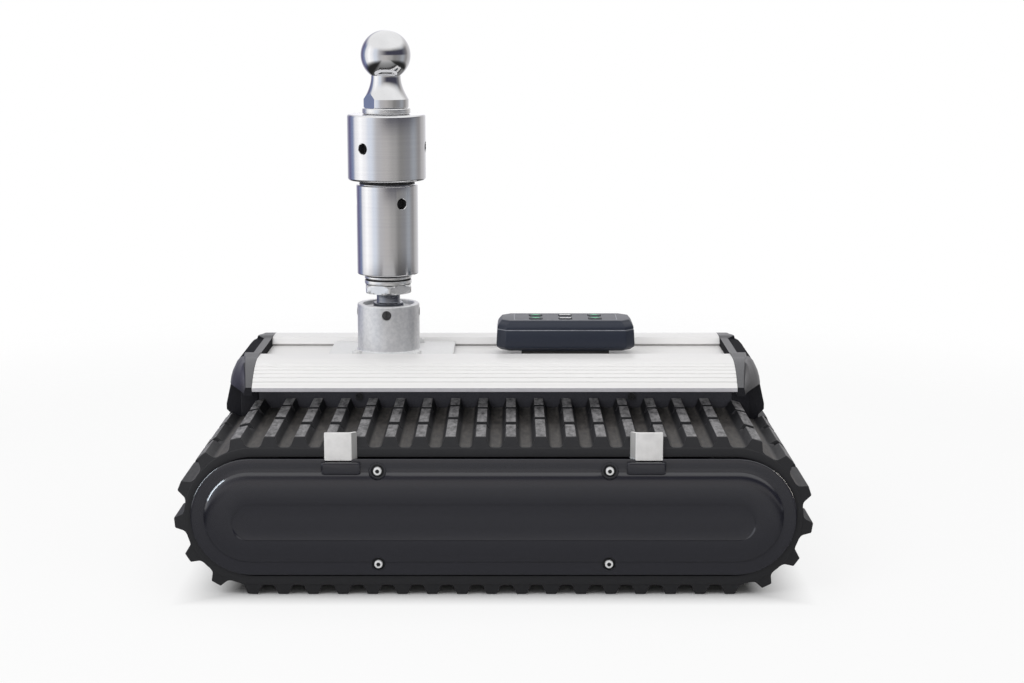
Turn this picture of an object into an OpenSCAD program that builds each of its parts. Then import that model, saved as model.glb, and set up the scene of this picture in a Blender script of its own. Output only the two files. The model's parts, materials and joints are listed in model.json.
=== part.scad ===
// Tracked trailer mover with a tow ball on a jacking post, and its handset.
// X runs along the tracks, Y across them and Z up. The origin lies on the ground under the middle.
// The near side is -Y. The far side is the near side turned half a turn about Z.

/* [Track] */
// Distance between the two axles of a track
axle_distance = 445; // [425:1:465]
// Radius of the belt's inner face round a wheel
belt_inner_r = 57; // [55.5:0.5:59]
// Thickness of the belt between the lugs
belt_thickness = 9; // [8:0.5:10]
// Width of the belt
belt_width = 179; // [165:1:195]
// Depth of the belt's cords, where its length is measured, from the inner face
cord_depth = 1.5; // [1:0.1:3]
// Number of lugs round the belt
lug_count = 45; // [40:1:47]
// Height of a lug above the belt
lug_height = 10; // [8.5:0.5:11]
// Width of a lug at its top
lug_top_width = 9.5; // [8:0.5:11]
// Width of a lug at its root
lug_root_width = 15; // [13:0.5:17]
// Length of the slope at the ends of a lug
lug_end_slope = 3.2; // [2:0.2:8]
// Width of the cuts that divide a lug
lug_cut_width = 12; // [8:0.5:16]
// Depth of the cuts that divide a lug
lug_cut_depth = 5; // [3:0.5:7]
// Distance of the lug nearest the middle of the top run from the middle
lug_offset = -12; // [-14:1:0]

/* [Wheels] */
// Gap between a wheel's rim and the belt
rim_gap = 0.4; // [0.3:0.1:0.8]
// Thickness of a wheel's rim
rim_thickness = 6; // [5:0.5:9]
// Thickness of a wheel's web
web_thickness = 10; // [8:1:14]
// Radius of a wheel's hub
hub_r = 18; // [16:0.5:20]
// Radius of the drive shaft
shaft_r = 10; // [9:0.5:11]
// Radius of the idler axle
idler_axle_r = 9; // [8:0.5:11]
// Outer radius of a shaft bearing
bearing_r = 17; // [15:0.5:20]
// Number of grip grooves round the drive wheel
grip_count = 24; // [18:1:30]
// Radius of a grip groove
grip_r = 2; // [1:0.25:2.5]
// Radius of a road roller
roller_r = 20; // [17:0.5:22]
// Radius of a roller axle
roller_axle_r = 6; // [5:0.5:8]
// Distance between neighbouring road rollers
roller_pitch = 84; // [76:1:88]

/* [Side frames and covers] */
// Thickness of the side plates
plate_thickness = 6; // [5:0.5:8]
// Distance of a side plate's outline from the belt
plate_margin = 6; // [5:0.5:8]
// Radius of the tie rods
tie_rod_r = 8; // [6:0.5:9]
// Height of the tie rods above the axles
tie_rod_rise = 14; // [12:1:18]
// Distance of the inner tie rods from the middle
tie_rod_inner_x = 45; // [40:1:60]
// Distance of the outer tie rods from the middle
tie_rod_outer_x = 140; // [125:1:145]
// Radius of a cover's round ends
cover_r = 55.5; // [54:0.5:57]
// Half of a cover's length
cover_half_length = 282; // [274:1:290]
// Thickness of a cover's rim
cover_rim = 4; // [3.5:0.5:5]
// Width of a cover's flat rim
cover_rim_width = 13; // [11:0.5:16]
// Height of a cover's raised middle above its rim
cover_raise = 3.5; // [3:0.25:5]
// Half length of the shallow panel in a cover
cover_panel_half = 243; // [225:1:250]
// Half height of the shallow panel in a cover
cover_panel_r = 18; // [15:0.5:22]
// Depth of the shallow panel in a cover
cover_panel_depth = 1.2; // [0.6:0.1:1.5]
// Distance of the cover screws from the middle
cover_screw_x = 107.5; // [95:0.5:115]
// Distance of the cover screws above and below the cover's middle
cover_screw_z = 44.5; // [43:0.5:46]
// Radius of a cover screw's shank
cover_screw_r = 2.5; // [2:0.25:3]
// Radius of a cover screw's head
cover_head_r = 4; // [3.5:0.25:4.5]
// Width of a track guide
guide_width = 25; // [22:1:30]
// Distance of a track guide's middle from the mover's middle
guide_x = 143.9; // [138:0.1:150]
// Height of a track guide above the belt's outer face
guide_rise = 15; // [12:0.5:20]
// Thickness of a track guide
guide_thickness = 2.5; // [2:0.25:3]
// Width of a track guide's bent side
guide_bend = 5.2; // [4:0.2:7]

/* [Chassis] */
// Length of the chassis box
chassis_length = 516; // [510:1:524]
// Inside width of the chassis box
chassis_inside = 92; // [84:1:100]
// Thickness of the chassis walls
chassis_wall = 4; // [3:0.5:6]
// Height of the chassis floor above the ground
ground_clearance = 32; // [26:1:38]
// Gap between a belt and the chassis wall
belt_gap = 3; // [3:0.5:6]
// Distance of the side screws from the middle
side_screw_x = 138.5; // [125:0.5:150]
// Depth of the cover on each end of the chassis
end_cover_depth = 16; // [13:1:18]
// Distance of each drive shaft from the end of the chassis
drive_inset = 35.5; // [34:0.5:40]
// Radius of a gear motor
motor_r = 29; // [24:0.5:31]
// Length of the battery pack
battery_length = 150; // [120:1:160]
// Height of the battery pack
battery_height = 84; // [70:1:90]
// Length of the control board
board_length = 120; // [90:1:130]

/* [Roof] */
// Length of the roof
roof_length = 476; // [466:1:484]
// Width of the roof over its wings
roof_width = 242; // [228:1:256]
// Height of the roof's crests
crest_height = 197; // [192:0.5:204]
// Thickness of the roof's skin
roof_skin = 4; // [3:0.5:5]
// Width of the trough's floor
trough_width = 89; // [84:1:92]
// Depth of the trough below the crests
trough_depth = 9; // [7:0.5:12]
// Width of each sloping trough side
trough_slope = 4.5; // [3:0.5:6]
// Distance from the middle to where the shoulders start to fall
shoulder_start = 70; // [66:1:76]
// Radius of the shoulders
shoulder_r = 72; // [70:1:80]
// Height of the upright band along the wings' lower edges
wing_band = 4; // [3:0.5:6]
// Number of fine grooves along each shoulder
groove_count = 6; // [3:1:6]
// Angle between two grooves
groove_step = 4.6; // [4.2:0.1:5.4]
// Angle of the first groove
groove_start = 16.2; // [14:0.2:20]
// Radius of a groove
groove_r = 0.7; // [0.4:0.1:1]
// Reach of an end cap beyond the roof
cap_reach = 28; // [25:1:31]
// Length of the cap's flat crest
cap_crest = 15; // [12:1:18]
// Height of the cap's lip above the crests
cap_lip = 2; // [1:0.5:3]
// Radius of the cap's corners in plan
cap_corner_r = 60; // [40:1:80]
// Length of the hand-hold slot
grip_slot_length = 90; // [70:1:96]
// Height of the hand-hold slot
grip_slot_height = 9; // [7:0.5:10]
// Depth of the hand-hold slot
grip_slot_depth = 12; // [10:0.5:14]

/* [Hitch socket] */
// Distance of the post from the middle, towards -X
post_offset = 111; // [100:1:130]
// Length of the socket's base plate
socket_plate_length = 128; // [118:1:140]
// Width of the socket's base plate
socket_plate_width = 86; // [82:1:88]
// Thickness of the socket's base plate
socket_plate_t = 6; // [5:0.5:8]
// Shift of the socket's base plate towards the middle
socket_plate_shift = 4; // [0:1:8]
// Outer radius of the socket
socket_r = 32; // [31:0.5:34]
// Inner radius of the socket
socket_bore_r = 26; // [25.5:0.25:27]
// Height of the socket above its plate
socket_height = 48; // [46:0.5:56]
// Radius of the fillet round the socket's foot
socket_fillet = 3; // [1:0.5:4]
// Distance between the base screws along X
base_screw_x = 61; // [54:1:70]
// Distance between the base screws along Y
base_screw_y = 72; // [71:0.5:74]
// Radius of a base screw's head
base_head_r = 5; // [4:0.25:5.5]
// Radius of a set screw
set_screw_r = 5; // [4:0.25:5.5]
// Depth of the retaining disc below the socket's rim
disc_drop = 4; // [3:0.5:6]
// Thickness of the retaining disc
disc_thickness = 10; // [9.5:0.5:12]
// Radius of the retaining disc's hole
disc_hole_r = 17; // [16.5:0.25:18]

/* [Post] */
// Radius of the spindle's ball end
spindle_ball_r = 20; // [19:0.5:20.5]
// Radius of the spindle
spindle_r = 12; // [10:0.2:14.2]
// Clearance round the spindle's ball end
ball_gap = 0.3; // [0.2:0.05:0.5]
// Gap between the socket's rim and the shoulder nut
nut_lift = 11; // [8:0.5:16]
// Size of the shoulder nut across its flats
nut_flats = 46; // [44:0.5:50]
// Height of the shoulder nut
nut_height = 9; // [7:0.5:12]
// Radius of a thrust race
race_r = 23.7; // [22:0.1:25]
// Thickness of a thrust race
race_height = 5.2; // [4:0.2:7]
// Gap between the two thrust races
race_gap = 0.4; // [0.3:0.1:0.8]
// Radius of the jack barrel
barrel_r = 31.5; // [30:0.5:33]
// Height of the jack barrel
barrel_height = 92; // [84:1:104]
// Radius of the barrel's screwed neck
neck_r = 28.5; // [27:0.5:29.5]
// Gap between the barrel's shoulder and the collar
collar_gap = 4.5; // [3:0.5:7]
// Radius of the turning collar
collar_r = 40; // [36:0.5:44]
// Height of the turning collar
collar_height = 67; // [60:1:76]
// Thickness of the collar's top
collar_top = 9; // [8:0.5:11]
// Rounding of the collar's edges
collar_edge = 2.5; // [1:0.25:3]
// Radius of the bar holes
bar_hole_r = 5.3; // [4.5:0.1:6]
// Depth of the bar holes
bar_hole_depth = 9; // [7:0.5:10]
// Direction of the first bar hole in the collar
collar_hole_turn = -124; // [-180:1:180]
// Direction of the first bar hole in the barrel
barrel_hole_turn = -58; // [-180:1:180]
// Travel of the jack
jack_travel = 40; // [20:1:43]

/* [Tow ball] */
// Diameter of the tow ball
tow_ball_d = 50.8; // [50:0.1:60]
// Radius of the neck below the ball
ball_neck_r = 15; // [13:0.25:17]
// Radius of the ball's base
ball_base_r = 23; // [21:0.25:26]
// Height of the ball's base
ball_base_height = 11; // [9:0.5:14]
// Height of the flare above the base
ball_flare = 16.5; // [14:0.5:20]
// Height of the ball's middle above the flare
ball_rise = 25.8; // [24:0.2:32]
// Distance across the wrench flats
ball_flats = 39.5; // [38:0.5:45]
// Radius of the washer under the ball
washer_r = 24.5; // [23:0.25:27]
// Thickness of the washer under the ball
washer_t = 6; // [4:0.5:8]
// Radius of the ball's shank
shank_r = 12.5; // [11:0.25:13.5]
// Radius of the nut on the shank
shank_nut_r = 18; // [16.5:0.25:19]
// Height of the nut on the shank
shank_nut_h = 12; // [10:0.5:14]

/* [Handset] */
// Distance of the handset's middle from the mover's middle
handset_x = 72; // [50:1:90]
// Distance of the handset from the mover's middle line
handset_y = -4; // [-8:1:8]
// Length of the handset
handset_length = 142; // [136:1:150]
// Width of the handset
handset_width = 60; // [58:1:66]
// Height of the handset's lower shell
handset_base_h = 21.5; // [20:0.5:26]
// Height of the handset's lid
handset_lid_h = 9.5; // [9:0.5:12]
// Wall of the handset's shells
handset_wall = 2.2; // [1.8:0.1:2.6]
// Slope of the handset's ends and sides at the top
handset_taper = 5; // [4:0.5:6]
// Chamfer of the handset's corners in plan
handset_chamfer = 9; // [7:0.5:11]
// Length of the handset's foot
foot_length = 90; // [80:1:100]
// Width of the handset's foot
foot_width = 44; // [38:1:48]
// Distance of the drive keys from the handset's middle
key_x = 30.5; // [26:0.5:34]
// Distance of each row of keys from the handset's middle line
key_y = 10; // [9:0.5:11]
// Length of a key
key_length = 13; // [11:0.5:16]
// Width of a key
key_width = 10; // [8:0.5:12]
// Height of a key above the lid
key_rise = 0.8; // [0.6:0.1:1.2]
// Travel of a key
key_travel = 0.5; // [0.4:0.05:0.6]

/* [Fits] */
// Running clearance round a turning shaft
run_fit = 0.05; // [0.02:0.01:0.1]
// Gap between pieces that only lie close
seat_gap = 0.3; // [0.2:0.05:0.5]
// Gap between a turning wheel and the plates beside it
side_gap = 5; // [3:0.5:8]

/* [Hidden] */
$fn = 64;
eps = 0.01;
lap = 1;
long = 1000;

// Heights
axle_z = belt_inner_r + belt_thickness + lug_height;
belt_outer_r = belt_inner_r + belt_thickness;
tip_r = belt_outer_r + lug_height;
cover_rise = 0.5;
cover_z = axle_z + cover_rise;
chassis_floor_t = 3;
trough_z = crest_height - trough_depth;
chassis_top = trough_z - roof_skin;
chassis_inner_z = ground_clearance + chassis_floor_t;

// Distances across, from the middle out
chassis_half = chassis_inside / 2 + chassis_wall;
belt_y0 = chassis_half + belt_gap;
belt_y1 = belt_y0 + belt_width;
plate_inset = 4;
inner_plate_y0 = belt_y0 + plate_inset;
inner_plate_y1 = inner_plate_y0 + plate_thickness;
outer_plate_inset = 5;
outer_plate_y1 = belt_y1 - outer_plate_inset;
outer_plate_y0 = outer_plate_y1 - plate_thickness;
wheel_y0 = inner_plate_y1 + side_gap;
wheel_y1 = outer_plate_y0 - side_gap;
cover_gap = 0.5;
cover_back_y = belt_y1 + cover_gap;
cover_rim_y = cover_back_y + cover_rim;
cover_face_y = cover_rim_y + cover_raise;

// Places along the mover
axle_x = axle_distance / 2;
chassis_end = chassis_length / 2;
track_x = chassis_end - drive_inset - axle_x;
roof_end = roof_length / 2;
cap_end = roof_end + cap_reach;
mid_gap = 20;

// Belt length and lugs
cord_r = belt_inner_r + cord_depth;
half_turn = PI * cord_r;
belt_length = 2 * axle_distance + 2 * half_turn;
lug_pitch = belt_length / lug_count;
lug_cuts = [[0.25, 0.59], [0.215, 0.54]];
lug_sink = 2;

// Rollers
roller_z = axle_z - belt_inner_r + roller_r + rim_gap;
roller_places = [-roller_pitch, 0, roller_pitch];
rim_r = belt_inner_r - rim_gap;
plate_r = belt_inner_r - plate_margin;
tie_rod_places = [-tie_rod_outer_x, -tie_rod_inner_x, tie_rod_inner_x, tie_rod_outer_x];
tie_rod_z = axle_z + tie_rod_rise;

// Screws
screw_socket_share = 0.5;
side_screw_rise = 1;
side_screw_z = tip_r + axle_z + side_screw_rise;
side_head_r = 4;
side_head_h = 2.4;
side_screw_end = 4;
side_head_room = 6;
plate_screw_r = 2.5;
plate_head_h = 2;
cover_head_h = 4;
cover_post_r = 6.5;
cap_screw_r = 2.5;
cap_head_r = 4.5;
cap_head_h = 3;
cap_screw_length = 22;
cap_screw_inset = 11;
cap_screw_y = chassis_half + cap_screw_inset;
cap_screw_drop = 4;
cap_screw_z = crest_height - roof_skin - cap_screw_drop;
cap_boss_r = 5;
base_screw_r = 4;
base_head_h = 5;
base_nut_r = 7;
base_nut_h = 5;
base_screw_end = 6;
set_screw_slot = 1.6;
set_screw_slot_depth = 2;
set_screw_proud = 0.6;

// Covers and track guides
cover_half = cover_half_length - cover_r;
dome_r = cover_r - cover_rim_width;
dome_slope = 3;
panel_drop = 5;
head_play = 1;
pocket_side = 3;
pocket_play = 1;
pocket_height = 11.6;
pocket_drop = 2.2;
pocket_top = cover_z + cover_r - pocket_drop;
pocket_low = pocket_top - pocket_height;
guide_gap = 2;
guide_y0 = belt_y1 + guide_gap;
guide_y1 = guide_y0 + guide_thickness;
guide_top = axle_z + belt_outer_r + guide_rise;
guide_foot_rise = 4;
guide_foot_z = pocket_low + guide_foot_rise;
guide_tab = 16;
guide_tab_low = guide_foot_z - guide_tab;
guide_screw_z = guide_foot_z - guide_tab / 2;
guide_bend_low = cover_z + cover_r + 1;

// Wing: the shoulder's arc ends at the roof's edge
roof_half = roof_width / 2;
shoulder_z = crest_height - shoulder_r;
wing_top_z = shoulder_z + sqrt(pow(shoulder_r, 2) - pow(roof_half - shoulder_start, 2));
wing_low_z = wing_top_z - wing_band;
lip_t = 3;
shoulder_lap = 12;

// End cap outline, seen from the side
cap_drop = 4;
cap_saddle = 0.4;
cap_low_z = wing_low_z - cap_drop;
cap_nub = 2.5;
cap_nub_inset = 5;
cap_slot_inset = 2;
cap_lip_slope = 5;
cap_lip_side = 4;
cap_wall = 10;
cap_rib = 6;
cap_straight = 7;
cap_inside_y = chassis_half + seat_gap;
slot_drop = 6;
slot_z = trough_z - slot_drop;
slot_floor_t = 7;
chassis_end_top = slot_z - slot_floor_t;

// Inside the chassis
end_chamfer = 5;
end_lip_drop = 28;
case_gap = 6;
board_rise = 14;
board_side_gap = 8;
board_t = 2;
pillar_r = 4;
part_r = 8;
part_h = 24;
part_pitch = 25;
motor_depth = 20;
motor_flange = 8;
motor_end_gap = 8;
motor_end_length = 26;
motor_step = 3;
motor_end_step = 1;
shaft_hole_gap = 2;

// Hitch socket and post, from the trough up
socket_top = trough_z + socket_plate_t + socket_height;
socket_floor = trough_z + socket_plate_t;
disc_top = socket_top - disc_drop;
disc_z = disc_top - disc_thickness;
spindle_ball_drop = 10;
spindle_ball_z = disc_z - spindle_ball_drop;
pad_lip_drop = 4;
nut_z = socket_top + nut_lift;
race_z = nut_z + nut_height;
upper_race_z = race_z + race_height + race_gap;
barrel_z = upper_race_z + race_height;
neck_z = barrel_z + barrel_height;
collar_z = neck_z + collar_gap;
washer_z = collar_z + collar_height;
ball_base_z = washer_z + washer_t;
ball_z = ball_base_z + ball_base_height + ball_flare + ball_rise;
nut_seat = washer_z - collar_top;
neck_play = 1;
thread_engagement = 14;
neck_top = min(collar_z + jack_travel + thread_engagement, nut_seat - neck_play);
spindle_stop = 30;
spindle_top = neck_z - spindle_stop;
bar_hole_drop = 18;
spindle_flare = 2.7;
flare_height = 10;
flare_sink = 2;
nut_turn = -84;
flats_turn = -58;
bar_hole_count = 3;
barrel_edge = 1;
nut_well_play = 6;

// Handset, from the trough's floor up
foot_sink = 0.5;
foot_height = trough_depth - foot_sink;
handset_z = trough_z + foot_height;
handset_seam = handset_z + handset_base_h;
handset_top = handset_seam + handset_lid_h;
key_gap = 0.35;
key_flange = 1.2;
key_flange_side = 1.5;
handset_board_t = 1.6;
handset_board_inset = 8.2;
handset_pillar_r = 3;
key_foot_rise = 1;
key_foot = handset_seam + key_foot_rise;
handset_low = 4;
handset_draft = 1;
cell_r = 5.2;
cell_length = 50;

// Places of the keys on the handset: [x, y]
key_places = [[-key_x, key_y], [-key_x, -key_y], [key_x, key_y], [key_x, -key_y], [0, key_y], [0, -key_y]];

rubber = [0.09, 0.09, 0.10];
black_plastic = [0.13, 0.13, 0.15];
steel = [0.66, 0.67, 0.69];
dark_steel = [0.30, 0.31, 0.34];
pale_aluminium = [0.86, 0.85, 0.83];
cast_aluminium = [0.74, 0.75, 0.75];
blue_black = [0.12, 0.13, 0.17];
key_green = [0.16, 0.55, 0.36];
board_green = [0.10, 0.35, 0.20];
bronze = [0.62, 0.48, 0.24];
chrome = [0.85, 0.86, 0.88];

// The far side is the near side turned about Z
module far() { rotate([0, 0, 180]) children(); }

module both_sides() {
    children();
    far() children();
}

// A track and its frame, set along the mover so that its motor lies in the chassis's end
module near_track() { translate([track_x, 0, 0]) children(); }
module far_track() { far() near_track() children(); }

module both_tracks() {
    near_track() children();
    far_track() children();
}

// A shape drawn in X and Z, given its length in Y from y0 to y1 on the near side
module across(y0, y1) {
    translate([0, -y0, 0]) rotate([90, 0, 0]) linear_extrude(y1 - y0) children();
}

// A shape drawn in X and Z, given its length in Y from y0 to y1
module along_y(y0, y1) {
    translate([0, y1, 0]) rotate([90, 0, 0]) linear_extrude(y1 - y0) children();
}

// A round bar along Y on the near side
module bar_y(x, z, y0, y1, r) {
    translate([x, -y0, z]) rotate([90, 0, 0]) cylinder(h = y1 - y0, r = r);
}

// A box between two corners
module block(low, high) {
    translate(low) cube(high - low);
}

// Flat stadium: two round ends of radius r, set half apart from the middle
module stadium(half, r) {
    square([2 * half, 2 * r], center = true);
    for (x = [-half, half]) translate([x, 0]) circle(r);
}

// Upright round body with rounded edges
module rounded_cylinder(r, h, edge) {
    rotate_extrude() {
        square([r - edge, h]);
        translate([0, edge]) square([r, h - 2 * edge]);
        for (z = [edge, h - edge]) translate([r - edge, z]) circle(edge);
    }
}

// Ring with a plain bore
module ring(r, bore, h) {
    difference() {
        cylinder(h = h, r = r);
        translate([0, 0, -eps]) cylinder(h = h + 2 * eps, r = bore);
    }
}

// Socket-head screw with its head's top at z = 0 and its shank pointing down
module socket_screw(head_r, head_h, shank_r, shank) {
    difference() {
        union() {
            translate([0, 0, -head_h]) cylinder(h = head_h, r = head_r);
            translate([0, 0, -head_h - shank]) cylinder(h = shank + eps, r = shank_r);
        }
        translate([0, 0, -head_h / 2]) cylinder(h = head_h, r = head_r * screw_socket_share, $fn = 6);
    }
}

// Where a lug stands: [x of its turning centre, its turn], by its distance along the belt
function lug_place(s) =
    s < axle_x ? [s, 0]
    : s < axle_x + half_turn ? [axle_x, -180 * (s - axle_x) / half_turn]
    : s < 3 * axle_x + half_turn ? [2 * axle_x + half_turn - s, 180]
    : s < 3 * axle_x + 2 * half_turn ? [-axle_x, 180 - 180 * (s - 3 * axle_x - half_turn) / half_turn]
    : [s - belt_length, 0];

// Lugs are counted from the bottom run, where an odd count puts two equal neighbours
function lug_distance(i) =
    (belt_length + lug_offset + (i - floor(lug_count / 2)) * lug_pitch) % belt_length;

module at_lugs(first, step) {
    for (i = [first : step : lug_count - 1]) {
        place = lug_place(lug_distance(i));
        translate([place[0], axle_z]) rotate(place[1]) children();
    }
}

module lug_outline() {
    polygon([[-lug_root_width / 2, belt_outer_r - lug_sink], [lug_root_width / 2, belt_outer_r - lug_sink],
        [lug_root_width / 2, belt_outer_r], [lug_top_width / 2, tip_r], [-lug_top_width / 2, tip_r],
        [-lug_root_width / 2, belt_outer_r]]);
}

// Slope at the outer ends of the lugs, all round the belt
module lug_end_cut() {
    high_r = tip_r + lug_sink;
    slope = [[belt_outer_r, belt_y1], [high_r, belt_y1 - lug_end_slope * (1 + lug_sink / lug_height)],
        [high_r, belt_y1 + lug_sink], [belt_outer_r, belt_y1 + lug_sink]];
    for (turn = [0, 180]) translate([0, 0, axle_z]) rotate([0, turn, 0]) {
        rotate([90, 0, 90]) translate([0, 0, -axle_x]) linear_extrude(2 * axle_x)
            polygon([for (p = slope) [-p[1], p[0]]]);
        translate([axle_x, 0, 0]) rotate([90, 0, 0]) rotate([0, 0, -90])
            rotate_extrude(angle = 180) polygon(slope);
    }
}

module track() {
    color(rubber) difference() {
        across(belt_y0, belt_y1) {
            difference() {
                union() {
                    translate([0, axle_z]) stadium(axle_x, belt_outer_r);
                    at_lugs(0, 1) lug_outline();
                }
                translate([0, axle_z]) stadium(axle_x, belt_inner_r);
            }
        }
        lug_end_cut();
        for (k = [0, 1]) for (share = lug_cuts[k]) {
            y = belt_y0 + share * belt_width;
            across(y, y + lug_cut_width) at_lugs(k, 2)
                translate([-lug_root_width / 2, tip_r - lug_cut_depth])
                square([lug_root_width, lug_cut_depth + lug_sink]);
        }
    }
}

module track_near() { near_track() track(); }
module track_far() { far_track() track(); }

// Wheel with a rim, two webs and a hub, bored for its shaft, lying along Y
module wheel(x, bore, grips) {
    width = wheel_y1 - wheel_y0;
    translate([x, -wheel_y0, axle_z]) rotate([90, 0, 0]) difference() {
        union() {
            ring(rim_r, rim_r - rim_thickness, width);
            cylinder(h = width, r = hub_r);
            for (z = [width / 5, width * 4 / 5 - web_thickness])
                translate([0, 0, z]) cylinder(h = web_thickness, r = rim_r - rim_thickness / 2);
        }
        translate([0, 0, -eps]) cylinder(h = width + 2 * eps, r = bore);
        if (grips > 0) for (i = [0 : grips - 1]) rotate(i * 360 / grips)
            translate([rim_r, 0, -eps]) cylinder(h = width + 2 * eps, r = grip_r);
    }
}

module drive_wheel() { color(dark_steel) wheel(axle_x, shaft_r, grip_count); }
module drive_wheel_near() { near_track() drive_wheel(); }
module drive_wheel_far() { far_track() drive_wheel(); }

module drive_shaft() {
    color(steel) bar_y(axle_x, axle_z, chassis_inside / 2 - motor_depth, outer_plate_y1, shaft_r);
}
module drive_shaft_near() { near_track() drive_shaft(); }
module drive_shaft_far() { far_track() drive_shaft(); }

module idler_wheel() { color(dark_steel) wheel(-axle_x, idler_axle_r + run_fit, 0); }
module idler_wheel_near() { near_track() idler_wheel(); }
module idler_wheel_far() { far_track() idler_wheel(); }

module roller(x) {
    color(dark_steel) difference() {
        bar_y(x, roller_z, wheel_y0, wheel_y1, roller_r);
        bar_y(x, roller_z, wheel_y0 - eps, wheel_y1 + eps, roller_axle_r + run_fit);
    }
}
module roller_near_left() { near_track() roller(roller_places[0]); }
module roller_near_middle() { near_track() roller(roller_places[1]); }
module roller_near_right() { near_track() roller(roller_places[2]); }
module roller_far_left() { far_track() roller(roller_places[2]); }
module roller_far_middle() { far_track() roller(roller_places[1]); }
module roller_far_right() { far_track() roller(roller_places[0]); }

// Side plate from y0 to y1, with its shaft, axle and rod holes
module side_plate(y0, y1) {
    difference() {
        across(y0, y1) translate([0, axle_z]) stadium(axle_x, plate_r);
        bar_y(axle_x, axle_z, y0 - eps, y1 + eps, bearing_r);
        bar_y(-axle_x, axle_z, y0 - eps, y1 + eps, idler_axle_r);
        for (x = roller_places) bar_y(x, roller_z, y0 - eps, y1 + eps, roller_axle_r);
        for (x = tie_rod_places) bar_y(x, tie_rod_z, y0 - eps, y1 + eps, tie_rod_r);
    }
}

module inner_plates() { color(dark_steel) both_tracks() side_plate(inner_plate_y0, inner_plate_y1); }

module outer_plates() {
    color(dark_steel) both_tracks() difference() {
        union() {
            side_plate(outer_plate_y0, outer_plate_y1);
            at_cover_screws(cover_back_y)
                cylinder(h = cover_back_y - outer_plate_y1 + lap, r = cover_post_r);
        }
        at_cover_screws(cover_back_y + eps)
            cylinder(h = cover_back_y - outer_plate_y0 + 2 * eps, r = cover_screw_r);
        for (x = [-guide_x, guide_x])
            bar_y(x, guide_screw_z, outer_plate_y0 - eps, outer_plate_y1 + eps, plate_screw_r);
    }
}

module tie_rods() {
    color(steel) both_tracks() for (x = tie_rod_places)
        bar_y(x, tie_rod_z, chassis_half, outer_plate_y1, tie_rod_r);
}

module shaft_bearings() {
    color(steel) both_tracks() for (y = [inner_plate_y0, outer_plate_y0])
        translate([axle_x, -y, axle_z]) rotate([90, 0, 0])
            ring(bearing_r, shaft_r + run_fit, plate_thickness);
}

module idler_axles() {
    color(steel) both_tracks() bar_y(-axle_x, axle_z, inner_plate_y0, outer_plate_y1, idler_axle_r);
}

module roller_axles() {
    color(steel) both_tracks() for (x = roller_places)
        bar_y(x, roller_z, inner_plate_y0, outer_plate_y1, roller_axle_r);
}

// Places of the cover screws, with z pointing in from the plane y
module at_cover_screws(y) {
    for (x = [-cover_screw_x, cover_screw_x], z = [-cover_screw_z, cover_screw_z])
        translate([x, -y, cover_z + z]) rotate([-90, 0, 0]) children();
}

// Raised stadium with sloping sides, on the near side from y0 out to y1
module dome(half, r0, r1, y0, y1) {
    translate([0, -y0, cover_z]) rotate([90, 0, 0]) {
        for (x = [-half, half]) translate([x, 0, 0]) cylinder(h = y1 - y0, r1 = r0, r2 = r1);
        translate([-half, 0, 0]) rotate([90, 0, 90]) linear_extrude(2 * half)
            polygon([[-r0, 0], [r0, 0], [r1, y1 - y0], [-r1, y1 - y0]]);
    }
}

module cover() {
    color(black_plastic) difference() {
        union() {
            across(cover_back_y, cover_rim_y) translate([0, cover_z]) stadium(cover_half, cover_r);
            dome(cover_half, dome_r, dome_r - dome_slope, cover_rim_y - eps, cover_face_y);
            for (side = [0, 1]) mirror([side, 0, 0]) block(
                [guide_x - guide_width / 2 - guide_bend - pocket_side, -cover_face_y, pocket_low],
                [guide_x + guide_width / 2 + pocket_side, -cover_rim_y + eps, pocket_top]);
        }
        dome(cover_half, dome_r - cover_rim, dome_r - cover_rim - dome_slope, cover_back_y - eps,
            cover_face_y - cover_rim);
        across(cover_face_y - cover_panel_depth, cover_face_y + eps)
            translate([0, cover_z - panel_drop]) stadium(cover_panel_half - cover_panel_r, cover_panel_r);
        for (x = [-guide_x, guide_x]) block(
            [x - guide_width / 2 - pocket_play, -guide_y1 - seat_gap, guide_foot_z - seat_gap],
            [x + guide_width / 2 + pocket_play, -cover_back_y + eps, cover_z + cover_r + eps]);
        at_cover_screws(cover_face_y + eps) {
            cylinder(h = cover_raise + cover_rim + 2 * eps, r = cover_screw_r + seat_gap);
            cylinder(h = cover_head_h + eps, r = cover_head_r + head_play);
        }
    }
}
module cover_near() { near_track() cover(); }
module cover_far() { far_track() cover(); }

module cover_screws() {
    shank = cover_face_y - cover_head_h - outer_plate_y0;
    color(steel) both_tracks() at_cover_screws(cover_face_y) rotate([180, 0, 0])
        socket_screw(cover_head_r, cover_head_h, cover_screw_r, shank);
}

// Bent plate that stands beside the belt, with a foot and a tab bolted to the outer plate.
// toward is the direction of the middle, where its side is bent back.
module track_guide(x, toward) {
    half = guide_width / 2;
    bend_y = -belt_y1 - seat_gap;
    difference() {
        union() {
            block([x - half, -guide_y1, guide_foot_z], [x + half, -guide_y0, guide_top]);
            block([x - half, -guide_y1, guide_foot_z],
                [x + half, -outer_plate_y1, guide_foot_z + guide_thickness]);
            block([x - half, -outer_plate_y1 - guide_thickness, guide_tab_low],
                [x + half, -outer_plate_y1, guide_foot_z + guide_thickness]);
            translate([0, 0, guide_bend_low]) linear_extrude(guide_top - guide_bend_low)
                polygon([[x + toward * half, -guide_y1], [x + toward * (half + guide_bend), bend_y],
                    [x + toward * (half + guide_bend - guide_thickness), bend_y],
                    [x + toward * (half - guide_thickness), -guide_y1 + eps]]);
        }
        bar_y(x, guide_screw_z, outer_plate_y1 - eps, outer_plate_y1 + guide_thickness + eps, plate_screw_r);
    }
}

module track_guides() {
    color(steel) both_tracks() for (side = [-1, 1]) track_guide(side * guide_x, -side);
}

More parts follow.
